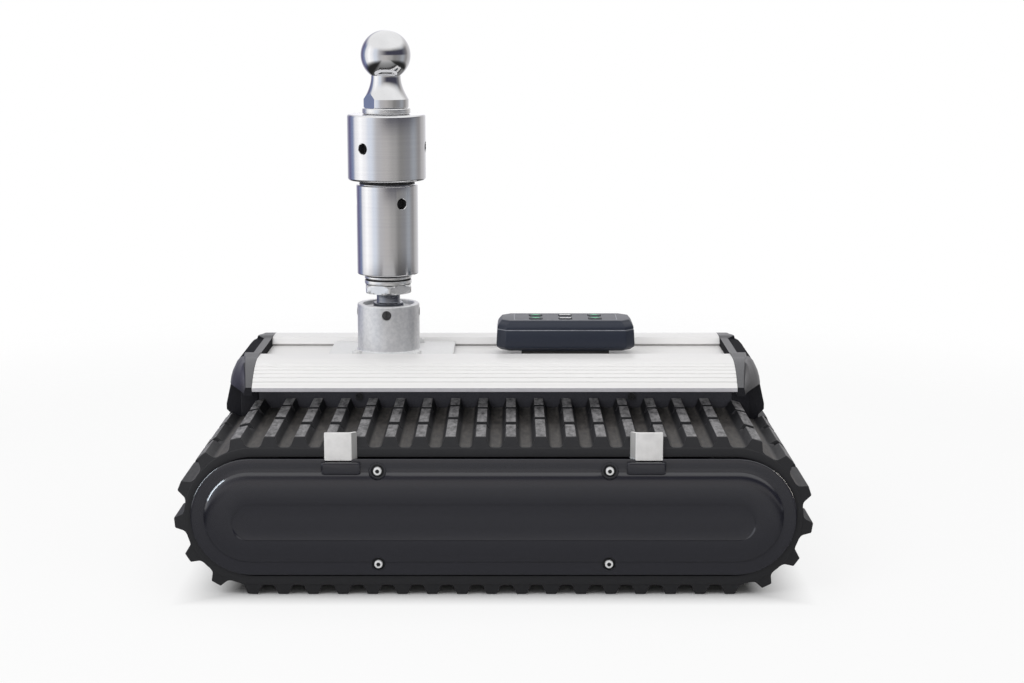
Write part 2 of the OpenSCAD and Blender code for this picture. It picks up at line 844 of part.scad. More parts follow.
module track_guide_screws() {
    color(steel) both_tracks() for (x = [-guide_x, guide_x])
        translate([x, -outer_plate_y1 - guide_thickness - plate_head_h, guide_screw_z]) rotate([90, 0, 0])
            socket_screw(cover_head_r, plate_head_h, plate_screw_r, plate_thickness + guide_thickness);
}

module chassis_box() {
    low = [-chassis_end, -chassis_half, ground_clearance];
    high = [chassis_end, chassis_half, chassis_top];
    color(black_plastic) difference() {
        block(low, high);
        block([-chassis_end + chassis_wall, -chassis_inside / 2, chassis_inner_z],
            [chassis_end - chassis_wall, chassis_inside / 2, long]);
        for (side = [-1, 1]) {
            block([side > 0 ? roof_end : -long, -long, chassis_end_top],
                [side > 0 ? long : -roof_end, long, long]);
            for (x = [-side_screw_x, side_screw_x]) translate([x, side * chassis_half, side_screw_z])
                rotate([side * 90, 0, 0]) translate([0, 0, -eps])
                cylinder(h = chassis_wall + 2 * eps, r = cover_screw_r);
        }
        both_tracks()
            bar_y(axle_x, axle_z, chassis_inside / 2 - eps, chassis_half + eps, shaft_r + shaft_hole_gap);
    }
}

module chassis_side_screws() {
    color(dark_steel) both_sides() for (x = [-side_screw_x, side_screw_x])
        translate([x, -chassis_half - side_head_h, side_screw_z]) rotate([90, 0, 0])
            socket_screw(side_head_r, side_head_h, cover_screw_r, chassis_wall + side_screw_end);
}

module chassis_end_covers() {
    low = ground_clearance + end_chamfer;
    top = cap_low_z - seat_gap;
    end = chassis_end + end_cover_depth;
    lip_z = top - end_lip_drop;
    color(black_plastic) for (turn = [0, 180]) rotate([0, 0, turn]) along_y(-chassis_half, chassis_half)
        polygon([[chassis_end, low], [chassis_end + end_chamfer, low], [end - 2 * end_chamfer, axle_z],
            [end - end_chamfer, lip_z - end_chamfer], [end, lip_z], [end, lip_z + end_chamfer],
            [end - end_chamfer, top], [chassis_end, top]]);
}

module battery_pack() {
    half_y = chassis_inside / 2 - case_gap;
    color(blue_black) block([-battery_length - mid_gap, -half_y, chassis_inner_z],
        [-mid_gap, half_y, chassis_inner_z + battery_height]);
}

module control_board() {
    board_z = chassis_inner_z + board_rise;
    half_y = chassis_inside / 2 - board_side_gap;
    pillar_y = half_y - 2 * pillar_r;
    board_end = mid_gap + board_length;
    color(board_green) {
        block([mid_gap, -half_y, board_z], [board_end, half_y, board_z + board_t]);
        for (x = [mid_gap + 2 * pillar_r, board_end - 2 * pillar_r], y = [-pillar_y, pillar_y])
            translate([x, y, chassis_inner_z]) cylinder(h = board_rise + eps, r = pillar_r);
        for (i = [1 : 3]) translate([mid_gap + i * part_pitch, 0, board_z + board_t - eps])
            cylinder(h = part_h, r = part_r);
    }
}

// Geared motor: a flange on the chassis wall, a gear head and the motor behind it
module gear_motors() {
    inside = chassis_inside / 2;
    head_y = inside - motor_flange;
    end_y = motor_end_gap - inside;
    step_y = end_y + motor_end_length;
    color(dark_steel) both_tracks() difference() {
        union() {
            bar_y(axle_x, axle_z, head_y, inside, motor_r);
            bar_y(axle_x, axle_z, step_y, head_y + eps, motor_r - motor_step);
            bar_y(axle_x, axle_z, end_y, step_y + eps, motor_r - motor_end_step);
        }
        bar_y(axle_x, axle_z, inside - motor_depth - lap, inside + eps, shaft_r + run_fit);
    }
}

// Round shoulder of radius r, out to edge_y from the middle
module shoulder(r, edge_y) {
    inner_y = shoulder_start - shoulder_lap;
    intersection() {
        translate([shoulder_start, shoulder_z]) circle(r, $fn = 180);
        translate([inner_y, shoulder_z - lap]) square([edge_y - inner_y, r + 2 * lap]);
    }
}

// A shape drawn in Y and Z, given its length in X from x0 to x1
module along(x0, x1) {
    translate([x0, 0, 0]) rotate([90, 0, 90]) linear_extrude(x1 - x0) children();
}

// Half of the roof's outer outline, from the middle to the wing's edge
module roof_outline() {
    floor_half = trough_width / 2;
    crest_y = floor_half + trough_slope;
    polygon([[-lap, shoulder_z], [-lap, trough_z], [floor_half, trough_z], [crest_y, crest_height],
        [shoulder_start, crest_height], [shoulder_start, shoulder_z]]);
    shoulder(shoulder_r, roof_half);
}

// Space under the roof's wing, without the round boss of its screw channel
module wing_hollow() {
    lip_y = chassis_half + seat_gap + lip_t;
    difference() {
        union() {
            translate([lip_y, shoulder_z]) square([shoulder_start - lip_y, shoulder_r - roof_skin]);
            shoulder(shoulder_r - roof_skin, roof_half - roof_skin);
        }
        translate([cap_screw_y, cap_screw_z]) circle(cap_boss_r);
    }
}

module roof() {
    low = shoulder_z - 2 * lap;
    lip_y = chassis_half + seat_gap + lip_t;
    lip_low = side_screw_z + side_head_r + side_head_room;
    cut_end = roof_end + eps;
    color(pale_aluminium) difference() {
        for (side = [0, 1]) mirror([0, side, 0]) along(-roof_end, roof_end) roof_outline();
        for (side = [0, 1]) mirror([0, side, 0]) {
            along(-cut_end, cut_end) wing_hollow();
            along(-cut_end, cut_end) translate([-lap, low]) square([roof_half + 2 * lap, wing_low_z - low]);
            along(-cut_end, cut_end) translate([-lap, low])
                square([chassis_half + seat_gap + lap, trough_z - roof_skin - low]);
            along(-cut_end, cut_end) translate([-lap, low]) square([lip_y + lap, lip_low - low]);
            along(-cut_end, cut_end) translate([cap_screw_y, cap_screw_z]) circle(cap_screw_r);
            for (i = [0 : groove_count - 1]) {
                turn = groove_start + i * groove_step;
                along(-cut_end, cut_end) translate([shoulder_start, shoulder_z])
                    rotate(-turn) translate([0, shoulder_r]) circle(groove_r, $fn = 16);
            }
        }
        at_base_screws(trough_z + eps) cylinder(h = roof_skin + 2 * eps, r = base_screw_r);
    }
}

// Outer outline of an end cap, across the mover: the roof's outline with the trough filled
module cap_outline() {
    translate([-shoulder_start, cap_low_z]) square([2 * shoulder_start, crest_height - cap_low_z]);
    for (side = [-1, 1]) intersection() {
        translate([side * shoulder_start, shoulder_z]) circle(shoulder_r, $fn = 180);
        translate([side > 0 ? shoulder_start - eps : -roof_half, cap_low_z])
            square([roof_half - shoulder_start + eps, crest_height - cap_low_z]);
    }
    lip_half = trough_width / 2 + trough_slope + cap_lip_side;
    translate([-lip_half, crest_height - eps]) square([2 * lip_half, cap_lip]);
}

// Side view of an end cap, for the +X end
module cap_side() {
    lip_z = crest_height + cap_lip;
    crest_x = roof_end + cap_crest;
    nub_x = cap_end - cap_nub_inset;
    slot_top = slot_z + grip_slot_height;
    polygon([[roof_end, cap_low_z], [roof_end, lip_z], [crest_x - cap_lip_slope, lip_z],
        [crest_x, crest_height], [nub_x - cap_nub - 1, slot_top + cap_nub], [nub_x, slot_top + cap_nub],
        [nub_x, slot_top], [cap_end - cap_slot_inset, slot_z], [cap_end, cap_low_z]]);
}

// Plan of an end cap, for the +X end
module cap_plan() {
    intersection() {
        translate([roof_end, -roof_half]) square([cap_reach, roof_width]);
        union() {
            translate([roof_end - cap_reach, -roof_half + cap_corner_r])
                square([2 * cap_reach, roof_width - 2 * cap_corner_r]);
            for (side = [-1, 1]) translate([cap_end - cap_corner_r, side * (roof_half - cap_corner_r)])
                circle(cap_corner_r, $fn = 120);
            translate([roof_end - cap_reach, -roof_half]) square([cap_reach + cap_straight, roof_width]);
        }
    }
}

module end_cap() {
    difference() {
        intersection() {
            along(roof_end, cap_end) cap_outline();
            rotate([90, 0, 0]) translate([0, 0, -long / 2]) linear_extrude(long) cap_side();
            translate([0, 0, cap_low_z - 1]) linear_extrude(long) cap_plan();
        }
        block([roof_end - eps, -cap_inside_y, 0],
            [chassis_end + seat_gap, cap_inside_y, chassis_end_top + seat_gap]);
        for (side = [0, 1]) mirror([0, side, 0]) block([roof_end - eps, chassis_half + cap_rib, 0],
            [cap_end - cap_wall, roof_half - cap_wall, wing_low_z + cap_drop]);
        block([roof_end - eps, -trough_width / 2, crest_height - cap_saddle], [long, trough_width / 2, long]);
        block([cap_end - grip_slot_depth, -grip_slot_length / 2, slot_z],
            [long, grip_slot_length / 2, slot_z + grip_slot_height]);
        at_cap_screws() {
            cylinder(h = long, r = cap_screw_r);
            translate([0, 0, cap_screw_length]) cylinder(h = long, r = cap_head_r);
        }
    }
}

// Places of the cap screws at the +X end, with z pointing out from the inner end of each screw
module at_cap_screws() {
    for (y = [-cap_screw_y, cap_screw_y]) translate([roof_end - cap_screw_length / 3, y, cap_screw_z])
        rotate([0, 90, 0]) children();
}

module end_cap_right() { color(black_plastic) end_cap(); }
module end_cap_left() { color(black_plastic) far() end_cap(); }

// Places of the base screws round the post, at the height z
module at_base_screws(z) {
    for (x = [-1, 1], y = [-1, 1])
        translate([-post_offset + x * base_screw_x / 2, y * base_screw_y / 2, z])
            rotate([180, 0, 0]) children();
}

module hitch_socket() {
    color(cast_aluminium) difference() {
        union() {
            translate([socket_plate_shift - post_offset, 0, 0]) block(
                [-socket_plate_length / 2, -socket_plate_width / 2, trough_z],
                [socket_plate_length / 2, socket_plate_width / 2, socket_floor]);
            translate([-post_offset, 0, socket_floor - eps]) cylinder(h = socket_height + eps, r = socket_r);
            translate([-post_offset, 0, socket_floor - eps]) rotate_extrude() difference() {
                square([socket_r + socket_fillet, socket_fillet]);
                translate([socket_r + socket_fillet, socket_fillet]) circle(socket_fillet);
            }
        }
        translate([-post_offset, 0, socket_floor]) cylinder(h = socket_height + lap, r = socket_bore_r);
        at_base_screws(socket_floor + eps) cylinder(h = socket_plate_t + 2 * eps, r = base_screw_r);
        at_set_screws() translate([0, 0, -eps]) cylinder(h = socket_r - socket_bore_r + lap, r = set_screw_r);
    }
}

// Places of the set screws, with z pointing out along each hole from the socket's bore
module at_set_screws() {
    for (turn = [0 : 90 : 270]) translate([-post_offset, 0, disc_z + disc_thickness / 2])
        rotate([0, 90, turn - 90]) translate([0, 0, socket_bore_r]) children();
}

module socket_screws() {
    grip = socket_plate_t + roof_skin;
    color(steel) at_base_screws(socket_floor + base_head_h) {
        rotate([180, 0, 0]) socket_screw(base_head_r, base_head_h, base_screw_r, grip + base_screw_end);
        translate([0, 0, base_head_h + grip]) cylinder(h = base_nut_h, r = base_nut_r, $fn = 6);
    }
}

module socket_set_screws() {
    slot = set_screw_slot;
    length = socket_r - socket_bore_r + set_screw_proud;
    color(dark_steel) at_set_screws() difference() {
        cylinder(h = length, r = set_screw_r);
        translate([-set_screw_r, -slot / 2, length - set_screw_slot_depth])
            cube([2 * set_screw_r, slot, set_screw_slot_depth + lap]);
    }
}

module retaining_disc() {
    color(cast_aluminium) difference() {
        translate([-post_offset, 0, disc_z]) ring(socket_bore_r, disc_hole_r, disc_thickness);
        translate([-post_offset, 0, spindle_ball_z]) sphere(spindle_ball_r + ball_gap);
    }
}

module swivel_pad() {
    pad_z = socket_floor + seat_gap;
    color(bronze) difference() {
        translate([-post_offset, 0, pad_z])
            cylinder(h = spindle_ball_z - pad_lip_drop - pad_z, r = socket_bore_r - run_fit);
        translate([-post_offset, 0, spindle_ball_z]) sphere(spindle_ball_r + ball_gap);
    }
}

module spindle() {
    color(dark_steel) translate([-post_offset, 0, 0]) {
        translate([0, 0, spindle_ball_z]) sphere(spindle_ball_r);
        translate([0, 0, spindle_ball_z]) cylinder(h = spindle_top - spindle_ball_z, r = spindle_r);
        translate([0, 0, socket_top - flare_sink])
            cylinder(h = flare_height, r1 = spindle_r + spindle_flare, r2 = spindle_r);
    }
}

module shoulder_nut() {
    color(steel) translate([-post_offset, 0, nut_z]) difference() {
        rotate(nut_turn) cylinder(h = nut_height, r = nut_flats / 2 / cos(30), $fn = 6);
        translate([0, 0, -eps]) cylinder(h = nut_height + 2 * eps, r = spindle_r);
    }
}

module lower_race() {
    color(steel) translate([-post_offset, 0, race_z]) ring(race_r, spindle_r, race_height);
}

module upper_race() {
    color(steel) translate([-post_offset, 0, upper_race_z]) ring(race_r, spindle_r + run_fit, race_height);
}

// Bar holes at a height z round a body of radius r
module bar_holes(r, z, first) {
    for (i = [0 : bar_hole_count - 1])
        translate([-post_offset, 0, z]) rotate([0, 90, first + i * 360 / bar_hole_count])
        translate([0, 0, r - bar_hole_depth]) cylinder(h = bar_hole_depth + lap, r = bar_hole_r);
}

module jack_barrel() {
    color(cast_aluminium) difference() {
        union() {
            translate([-post_offset, 0, barrel_z]) rounded_cylinder(barrel_r, barrel_height, barrel_edge);
            translate([-post_offset, 0, neck_z - lap]) cylinder(h = neck_top - neck_z + lap, r = neck_r);
        }
        translate([-post_offset, 0, barrel_z - eps])
            cylinder(h = spindle_top + lap - barrel_z, r = spindle_r + run_fit);
        translate([-post_offset, 0, nut_seat - shank_nut_h - nut_well_play])
            cylinder(h = long, r = shank_nut_r + head_play);
        bar_holes(barrel_r, neck_z - bar_hole_drop, barrel_hole_turn);
    }
}

module turning_collar() {
    color(cast_aluminium) difference() {
        translate([-post_offset, 0, collar_z]) rounded_cylinder(collar_r, collar_height, collar_edge);
        translate([-post_offset, 0, collar_z - eps])
            cylinder(h = collar_height - collar_top + eps, r = neck_r + run_fit);
        translate([-post_offset, 0, collar_z]) cylinder(h = collar_height + lap, r = shank_r + run_fit);
        bar_holes(collar_r, collar_z + collar_height / 2, collar_hole_turn);
    }
}

module tow_ball() {
    flare_r = (pow(ball_flare, 2) + pow(ball_base_r - ball_neck_r, 2)) / 2 / (ball_base_r - ball_neck_r);
    flare_z = ball_base_z + ball_base_height;
    flats_top = flare_z + ball_flare;
    shank_low = nut_seat - shank_nut_h;
    color(chrome) translate([-post_offset, 0, 0]) {
        translate([0, 0, ball_z]) sphere(tow_ball_d / 2, $fn = 128);
        translate([0, 0, flare_z]) cylinder(h = ball_z - flare_z, r = ball_neck_r);
        difference() {
            union() {
                translate([0, 0, ball_base_z]) cylinder(h = ball_base_height, r = ball_base_r);
                translate([0, 0, flare_z - eps]) rotate_extrude() difference() {
                    square([ball_base_r, ball_flare]);
                    translate([ball_neck_r + flare_r, ball_flare]) circle(flare_r);
                }
            }
            for (turn = [0, 180]) rotate(flats_turn + turn)
                block([-long / 2, -long, 0], [long / 2, -ball_flats / 2, flats_top]);
        }
        translate([0, 0, shank_low]) cylinder(h = ball_base_z - shank_low, r = shank_r);
    }
}

module ball_washer() {
    color(steel) translate([-post_offset, 0, washer_z + seat_gap])
        ring(washer_r, shank_r, washer_t - seat_gap);
}

module shank_nut() {
    color(steel) translate([-post_offset, 0, nut_seat - shank_nut_h - seat_gap]) difference() {
        cylinder(h = shank_nut_h, r = shank_nut_r, $fn = 6);
        translate([0, 0, -eps]) cylinder(h = shank_nut_h + 2 * eps, r = shank_r);
    }
}

// Plan of the handset, drawn in by inset all round
module handset_plan(inset) {
    x = handset_length / 2 - inset;
    y = handset_width / 2 - inset;
    c = handset_chamfer;
    polygon([[-x + c, -y], [x - c, -y], [x, -y + c], [x, y - c], [x - c, y], [-x + c, y], [-x, y - c],
        [-x, -y + c]]);
}

module at_handset(z) { translate([handset_x, handset_y, z]) children(); }

module handset_slice(inset, z) { translate([0, 0, z]) linear_extrude(eps) handset_plan(inset); }

module handset_base() {
    color(blue_black) at_handset(handset_z) difference() {
        union() {
            hull() {
                handset_slice(handset_low, 0);
                handset_slice(0, handset_low);
            }
            hull() {
                handset_slice(0, handset_low);
                handset_slice(handset_draft, handset_base_h - eps);
            }
        }
        translate([0, 0, handset_wall]) linear_extrude(handset_base_h)
            handset_plan(handset_wall + handset_low);
    }
}

module key_outline(grow) {
    square([key_length + 2 * grow, key_width + 2 * grow], center = true);
}

module handset_lid() {
    color(blue_black) at_handset(handset_seam) difference() {
        hull() {
            handset_slice(handset_draft, 0);
            handset_slice(handset_taper, handset_lid_h - eps);
        }
        translate([0, 0, -eps]) linear_extrude(handset_lid_h - handset_wall)
            handset_plan(handset_wall + handset_taper);
        for (p = key_places) translate([p[0], p[1], 0])
            linear_extrude(handset_lid_h + lap) key_outline(key_gap);
    }
}

module handset_foot() {
    color(rubber) at_handset(trough_z) translate([-foot_length / 2, -foot_width / 2, 0])
        cube([foot_length, foot_width, foot_height]);
}

module handset_board() {
    under = key_foot - key_travel - seat_gap - handset_board_t - handset_z;
    color(board_green) at_handset(handset_z) {
        translate([0, 0, under]) linear_extrude(handset_board_t) handset_plan(handset_board_inset);
        for (x = [-1, 1], y = [-1, 1])
            translate([x * handset_length / 3, y * handset_width / 4, handset_wall])
            cylinder(h = under - handset_wall + eps, r = handset_pillar_r);
    }
}

module handset_cells() {
    place = cell_r + seat_gap;
    color(steel) at_handset(handset_z + handset_wall + cell_r) for (y = [-place, place])
        translate([-cell_length / 2, y, 0]) rotate([0, 90, 0]) cylinder(h = cell_length, r = cell_r);
}

// A key with its flange under the lid
module key(i) {
    p = key_places[i];
    color(i < 4 ? key_green : pale_aluminium) at_handset(0) translate([p[0], p[1], 0]) {
        translate([0, 0, key_foot]) linear_extrude(handset_top + key_rise - key_foot) key_outline(0);
        translate([0, 0, handset_top - handset_wall - seat_gap - key_flange]) linear_extrude(key_flange)
            key_outline(key_flange_side);
    }
}

module key_left_forward() { key(0); }
module key_left_back() { key(1); }
module key_right_forward() { key(2); }
module key_right_back() { key(3); }
module key_power() { key(4); }
module key_lamp() { key(5); }

module end_cap_screws() {
    color(dark_steel) for (turn = [0, 180]) rotate([0, 0, turn]) at_cap_screws()
        translate([0, 0, cap_screw_length + cap_head_h])
        socket_screw(cap_head_r, cap_head_h, cap_screw_r, cap_screw_length);
}

roof();
end_cap_left();
end_cap_right();
end_cap_screws();
chassis_box();
chassis_side_screws();
chassis_end_covers();
battery_pack();
control_board();
gear_motors();
inner_plates();
outer_plates();
tie_rods();
shaft_bearings();
idler_axles();
roller_axles();
track_near();
track_far();
cover_near();
cover_far();
cover_screws();
track_guides();
track_guide_screws();
hitch_socket();
socket_screws();
socket_set_screws();
retaining_disc();
drive_wheel_near();
drive_wheel_far();
drive_shaft_near();
drive_shaft_far();
idler_wheel_near();
idler_wheel_far();
roller_near_left();
roller_near_middle();
roller_near_right();
roller_far_left();
roller_far_middle();
roller_far_right();
swivel_pad();
spindle();
shoulder_nut();
lower_race();
upper_race();
jack_barrel();
turning_collar();
tow_ball();
ball_washer();
shank_nut();
handset_base();
handset_lid();
handset_foot();
handset_board();
handset_cells();
key_left_forward();
key_left_back();
key_right_forward();
key_right_back();
key_power();
key_lamp();
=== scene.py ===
import json
import math
import bmesh
import bpy
from mathutils import Matrix, Vector


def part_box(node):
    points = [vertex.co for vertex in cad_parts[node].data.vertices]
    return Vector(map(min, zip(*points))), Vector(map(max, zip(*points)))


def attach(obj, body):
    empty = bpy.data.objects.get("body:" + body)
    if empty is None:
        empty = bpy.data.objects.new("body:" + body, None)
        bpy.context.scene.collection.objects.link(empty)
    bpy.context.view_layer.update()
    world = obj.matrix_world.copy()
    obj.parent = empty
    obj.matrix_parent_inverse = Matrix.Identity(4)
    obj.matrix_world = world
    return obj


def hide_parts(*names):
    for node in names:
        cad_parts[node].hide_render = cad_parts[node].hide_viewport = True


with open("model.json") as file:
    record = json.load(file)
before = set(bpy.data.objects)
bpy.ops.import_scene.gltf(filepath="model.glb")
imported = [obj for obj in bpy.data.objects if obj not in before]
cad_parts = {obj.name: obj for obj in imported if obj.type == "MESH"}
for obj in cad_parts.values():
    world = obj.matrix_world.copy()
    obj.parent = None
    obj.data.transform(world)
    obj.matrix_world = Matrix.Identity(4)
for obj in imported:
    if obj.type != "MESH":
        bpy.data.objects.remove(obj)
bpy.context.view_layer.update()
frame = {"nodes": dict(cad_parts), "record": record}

mm = 0.001
scene = bpy.context.scene
scene.view_settings.view_transform = "Standard"
print("frame loaded:", len(frame["nodes"]), "CAD nodes")


# shared helpers, all lengths in millimetres

class Sizes(dict):
    # one piece's dictionary, whose values are also read as sizes.name
    __getattr__ = dict.__getitem__


def boxOf(node):
    low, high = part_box(node)
    return low * 1000, high * 1000


def addObject(name, data):
    piece = bpy.data.objects.new(name, data)
    scene.collection.objects.link(piece)
    return piece


def smoothPiece(piece, sharp=38):
    piece.data.shade_smooth()
    piece.data.set_sharp_from_angle(angle=math.radians(sharp))
    return piece


def makePiece(name, verts, faces, sharp=38):
    mesh = bpy.data.meshes.new(name)
    mesh.from_pydata([Vector(v) * mm for v in verts], [], faces)
    shell = bmesh.new()
    shell.from_mesh(mesh)
    bmesh.ops.remove_doubles(shell, verts=shell.verts, dist=2e-7)
    bmesh.ops.recalc_face_normals(shell, faces=shell.faces)
    shell.to_mesh(mesh)
    shell.free()
    return smoothPiece(addObject(name, mesh), sharp)


def roundedLine(corners, closed=True, steps=6):
    # corners are (a, b, radius); a corner with no radius stays sharp
    points = []
    for i, corner in enumerate(corners):
        here = Vector(corner[:2])
        radius = corner[2] if len(corner) > 2 else 0
        if radius == 0 or (not closed and i in (0, len(corners) - 1)):
            points.append(here)
            continue
        back = Vector(corners[i - 1][:2]) - here
        ahead = Vector(corners[(i + 1) % len(corners)][:2]) - here
        half = back.angle(ahead) / 2
        reach = min(radius / math.tan(half), 0.49 * back.length, 0.49 * ahead.length)
        radius = reach * math.tan(half)
        back, ahead = back.normalized(), ahead.normalized()
        centre = here + (back + ahead).normalized() * (radius / math.sin(half))
        first, last = here + back * reach - centre, here + ahead * reach - centre
        start = math.atan2(first.y, first.x)
        turn = (math.atan2(last.y, last.x) - start + math.pi) % (2 * math.pi) - math.pi
        for k in range(steps + 1):
            angle = start + turn * k / steps
            points.append(centre + radius * Vector((math.cos(angle), math.sin(angle))))
    return [(p.x, p.y) for p in points]


def boxCorners(x0, y0, x1, y1, r, topR=None):
    # a rectangle for roundedLine, its two upper corners with a radius of their own if one is given
    topR = r if topR is None else topR
    return [(x0, y0, r), (x1, y0, r), (x1, y1, topR), (x0, y1, topR)]


def ringOf(reach, z, steps, centre=(0, 0)):
    # reach is a radius, or a function that gives it for an angle
    ring = []
    for i in range(steps):
        angle = 2 * math.pi * i / steps
        r = reach(angle) if callable(reach) else reach
        ring.append((centre[0] + r * math.cos(angle), centre[1] + r * math.sin(angle), z))
    return ring


def sixSided(flat, angle):
    # from a hexagon's middle to its side, flat being half the width across its flats
    return flat / math.cos(angle % (math.pi / 3) - math.pi / 6)


def stadiumRing(half, r, y, centreZ, straight=54, steps=30):
    # an upright loop of two straight runs and two half circles
    ring = []
    for side in (1, -1):
        for k in range(straight):
            ring.append((side * (-half + 2 * half * k / straight), y, centreZ + side * r))
        for k in range(steps):
            angle = math.pi * k / steps
            ring.append((side * (half + r * math.sin(angle)), y,
                         centreZ + side * r * math.cos(angle)))
    return ring


def loft(rings, closed=False):
    count = len(rings[0])
    verts = [point for ring in rings for point in ring]
    faces = []
    for k in range(len(rings) if closed else len(rings) - 1):
        below, above = k * count, (k + 1) % len(rings) * count
        for i in range(count):
            j = (i + 1) % count
            faces.append((below + i, below + j, above + j, above + i))
    if not closed:
        faces.append(tuple(range(count))[::-1])
        faces.append(tuple(len(verts) - count + i for i in range(count)))
    return verts, faces


def lathe(name, line, centre=(0, 0), closed=False, steps=128):
    # line is a list of (radius, height), turned about a vertical axis
    return makePiece(name, *loft([ringOf(r, z, steps, centre) for r, z in line], closed))


def softBox(name, low, high, edge):
    # a block with its upright edges rounded and its top and bottom edges eased
    ease = edge * 0.5
    rings = []
    for z, inset in ((low[2], ease), (low[2] + ease * 0.3, ease * 0.3), (low[2] + ease, 0),
                     (high[2] - ease, 0), (high[2] - ease * 0.3, ease * 0.3), (high[2], ease)):
        corners = boxCorners(low[0] + inset, low[1] + inset, high[0] - inset, high[1] - inset, edge)
        rings.append([(x, y, z) for x, y in roundedLine(corners, steps=4)])
    return makePiece(name, *loft(rings), sharp=50)


def plainMesh(piece):
    graph = bpy.context.evaluated_depsgraph_get()
    solid = bpy.data.meshes.new_from_object(piece.evaluated_get(graph))
    piece.modifiers.clear()
    piece.data = solid


def cutWith(piece, cutters, sharp=38):
    for cutter in cutters:
        cut = piece.modifiers.new("cut", "BOOLEAN")
        cut.operation = "DIFFERENCE"
        cut.solver = "EXACT"
        cut.object = cutter
    plainMesh(piece)
    for cutter in cutters:
        bpy.data.objects.remove(cutter)
    return smoothPiece(piece, sharp)


def moved(piece, spot, *turns):
    # turned about the given axes, the last one first, and then carried to the spot
    matrix = Matrix.Translation(Vector(spot) * mm)
    for axis, angle in turns:
        matrix = matrix @ Matrix.Rotation(angle, 4, axis)
    piece.data.transform(matrix)
    return piece


def joined(name, pieces):
    shell = bmesh.new()
    for piece in pieces:
        shell.from_mesh(piece.data)
    mesh = bpy.data.meshes.new(name)
    shell.to_mesh(mesh)
    shell.free()
    for piece in pieces:
        bpy.data.objects.remove(piece)
    return addObject(name, mesh)


def halfTurned(piece, name):
    # the same piece on the opposite side of the part
    twin = addObject(name, piece.data.copy())
    twin.data.transform(Matrix.Rotation(math.pi, 4, "Z"))
    return twin


def dress(piece, paint):
    piece.data.materials.clear()
    piece.data.materials.append(paint)
    return piece


def paintFaces(piece, paint, chosen):
    # a further finish on the faces that are chosen by their middle in millimetres, or by the face
    piece.data.materials.append(paint)
    for face in piece.data.polygons:
        if chosen(face.center * 1000, face):
            face.material_index = len(piece.data.materials) - 1


def settle(piece, slotName, body, *nodes, paint=None):
    dress(piece, paint or finish[slotName])
    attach(piece, body)
    if nodes:
        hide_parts(*nodes)


# node trees

def setInputs(tree, node, inputs):
    # an input takes a value, or a link from another node's output
    for key, value in inputs.items():
        if isinstance(value, bpy.types.NodeSocket):
            tree.links.new(value, node.inputs[key])
        else:
            node.inputs[key].default_value = value


def addNode(tree, kind, inputs=None, **settings):
    node = tree.nodes.new(kind)
    for key, value in settings.items():
        setattr(node, key, value)
    setInputs(tree, node, inputs or {})
    return node


def mathNode(tree, operation, *values):
    return addNode(tree, "ShaderNodeMath", dict(enumerate(values)), operation=operation).outputs[0]


def product(tree, first, *others):
    for other in others:
        first = mathNode(tree, "MULTIPLY", first, other)
    return first


def rangeNode(tree, value, span, to=(0.0, 1.0), kind="LINEAR"):
    node = addNode(tree, "ShaderNodeMapRange", {
        "Value": value, "From Min": span[0], "From Max": span[1], "To Min": to[0], "To Max": to[1]},
        interpolation_type=kind)
    return node.outputs["Result"]


def mixColour(tree, share, one, two):
    # each colour is three numbers or another node's output
    one, two = ((*part, 1) if isinstance(part, tuple) else part for part in (one, two))
    return addNode(tree, "ShaderNodeMix", {0: share, 6: one, 7: two}, data_type="RGBA").outputs[2]


def mixShader(tree, share, one, two):
    return addNode(tree, "ShaderNodeMixShader", {0: share, 1: one, 2: two}).outputs[0]


def placeNodes(tree, kind="Object"):
    # the place itself and its x, y and z
    place = addNode(tree, "ShaderNodeTexCoord").outputs[kind]
    return (place, *addNode(tree, "ShaderNodeSeparateXYZ", {"Vector": place}).outputs)


def distanceNode(tree, place):
    return addNode(tree, "ShaderNodeVectorMath", {0: place}, operation="LENGTH").outputs["Value"]


def noiseNode(tree, place, stretch, **inputs):
    spread = addNode(tree, "ShaderNodeMapping", {"Vector": place, "Scale": stretch})
    inputs["Vector"] = spread.outputs["Vector"]
    return addNode(tree, "ShaderNodeTexNoise", inputs).outputs["Fac"]


def reliefNode(tree, height, strength, depth):
    return addNode(tree, "ShaderNodeBump", {"Height": height, "Strength": strength,
                                            "Distance": depth * mm}).outputs["Normal"]


def newMaterial(name):
    material = bpy.data.materials.new(name)
    material.use_nodes = True
    return material, material.node_tree, material.node_tree.nodes["Principled BSDF"]


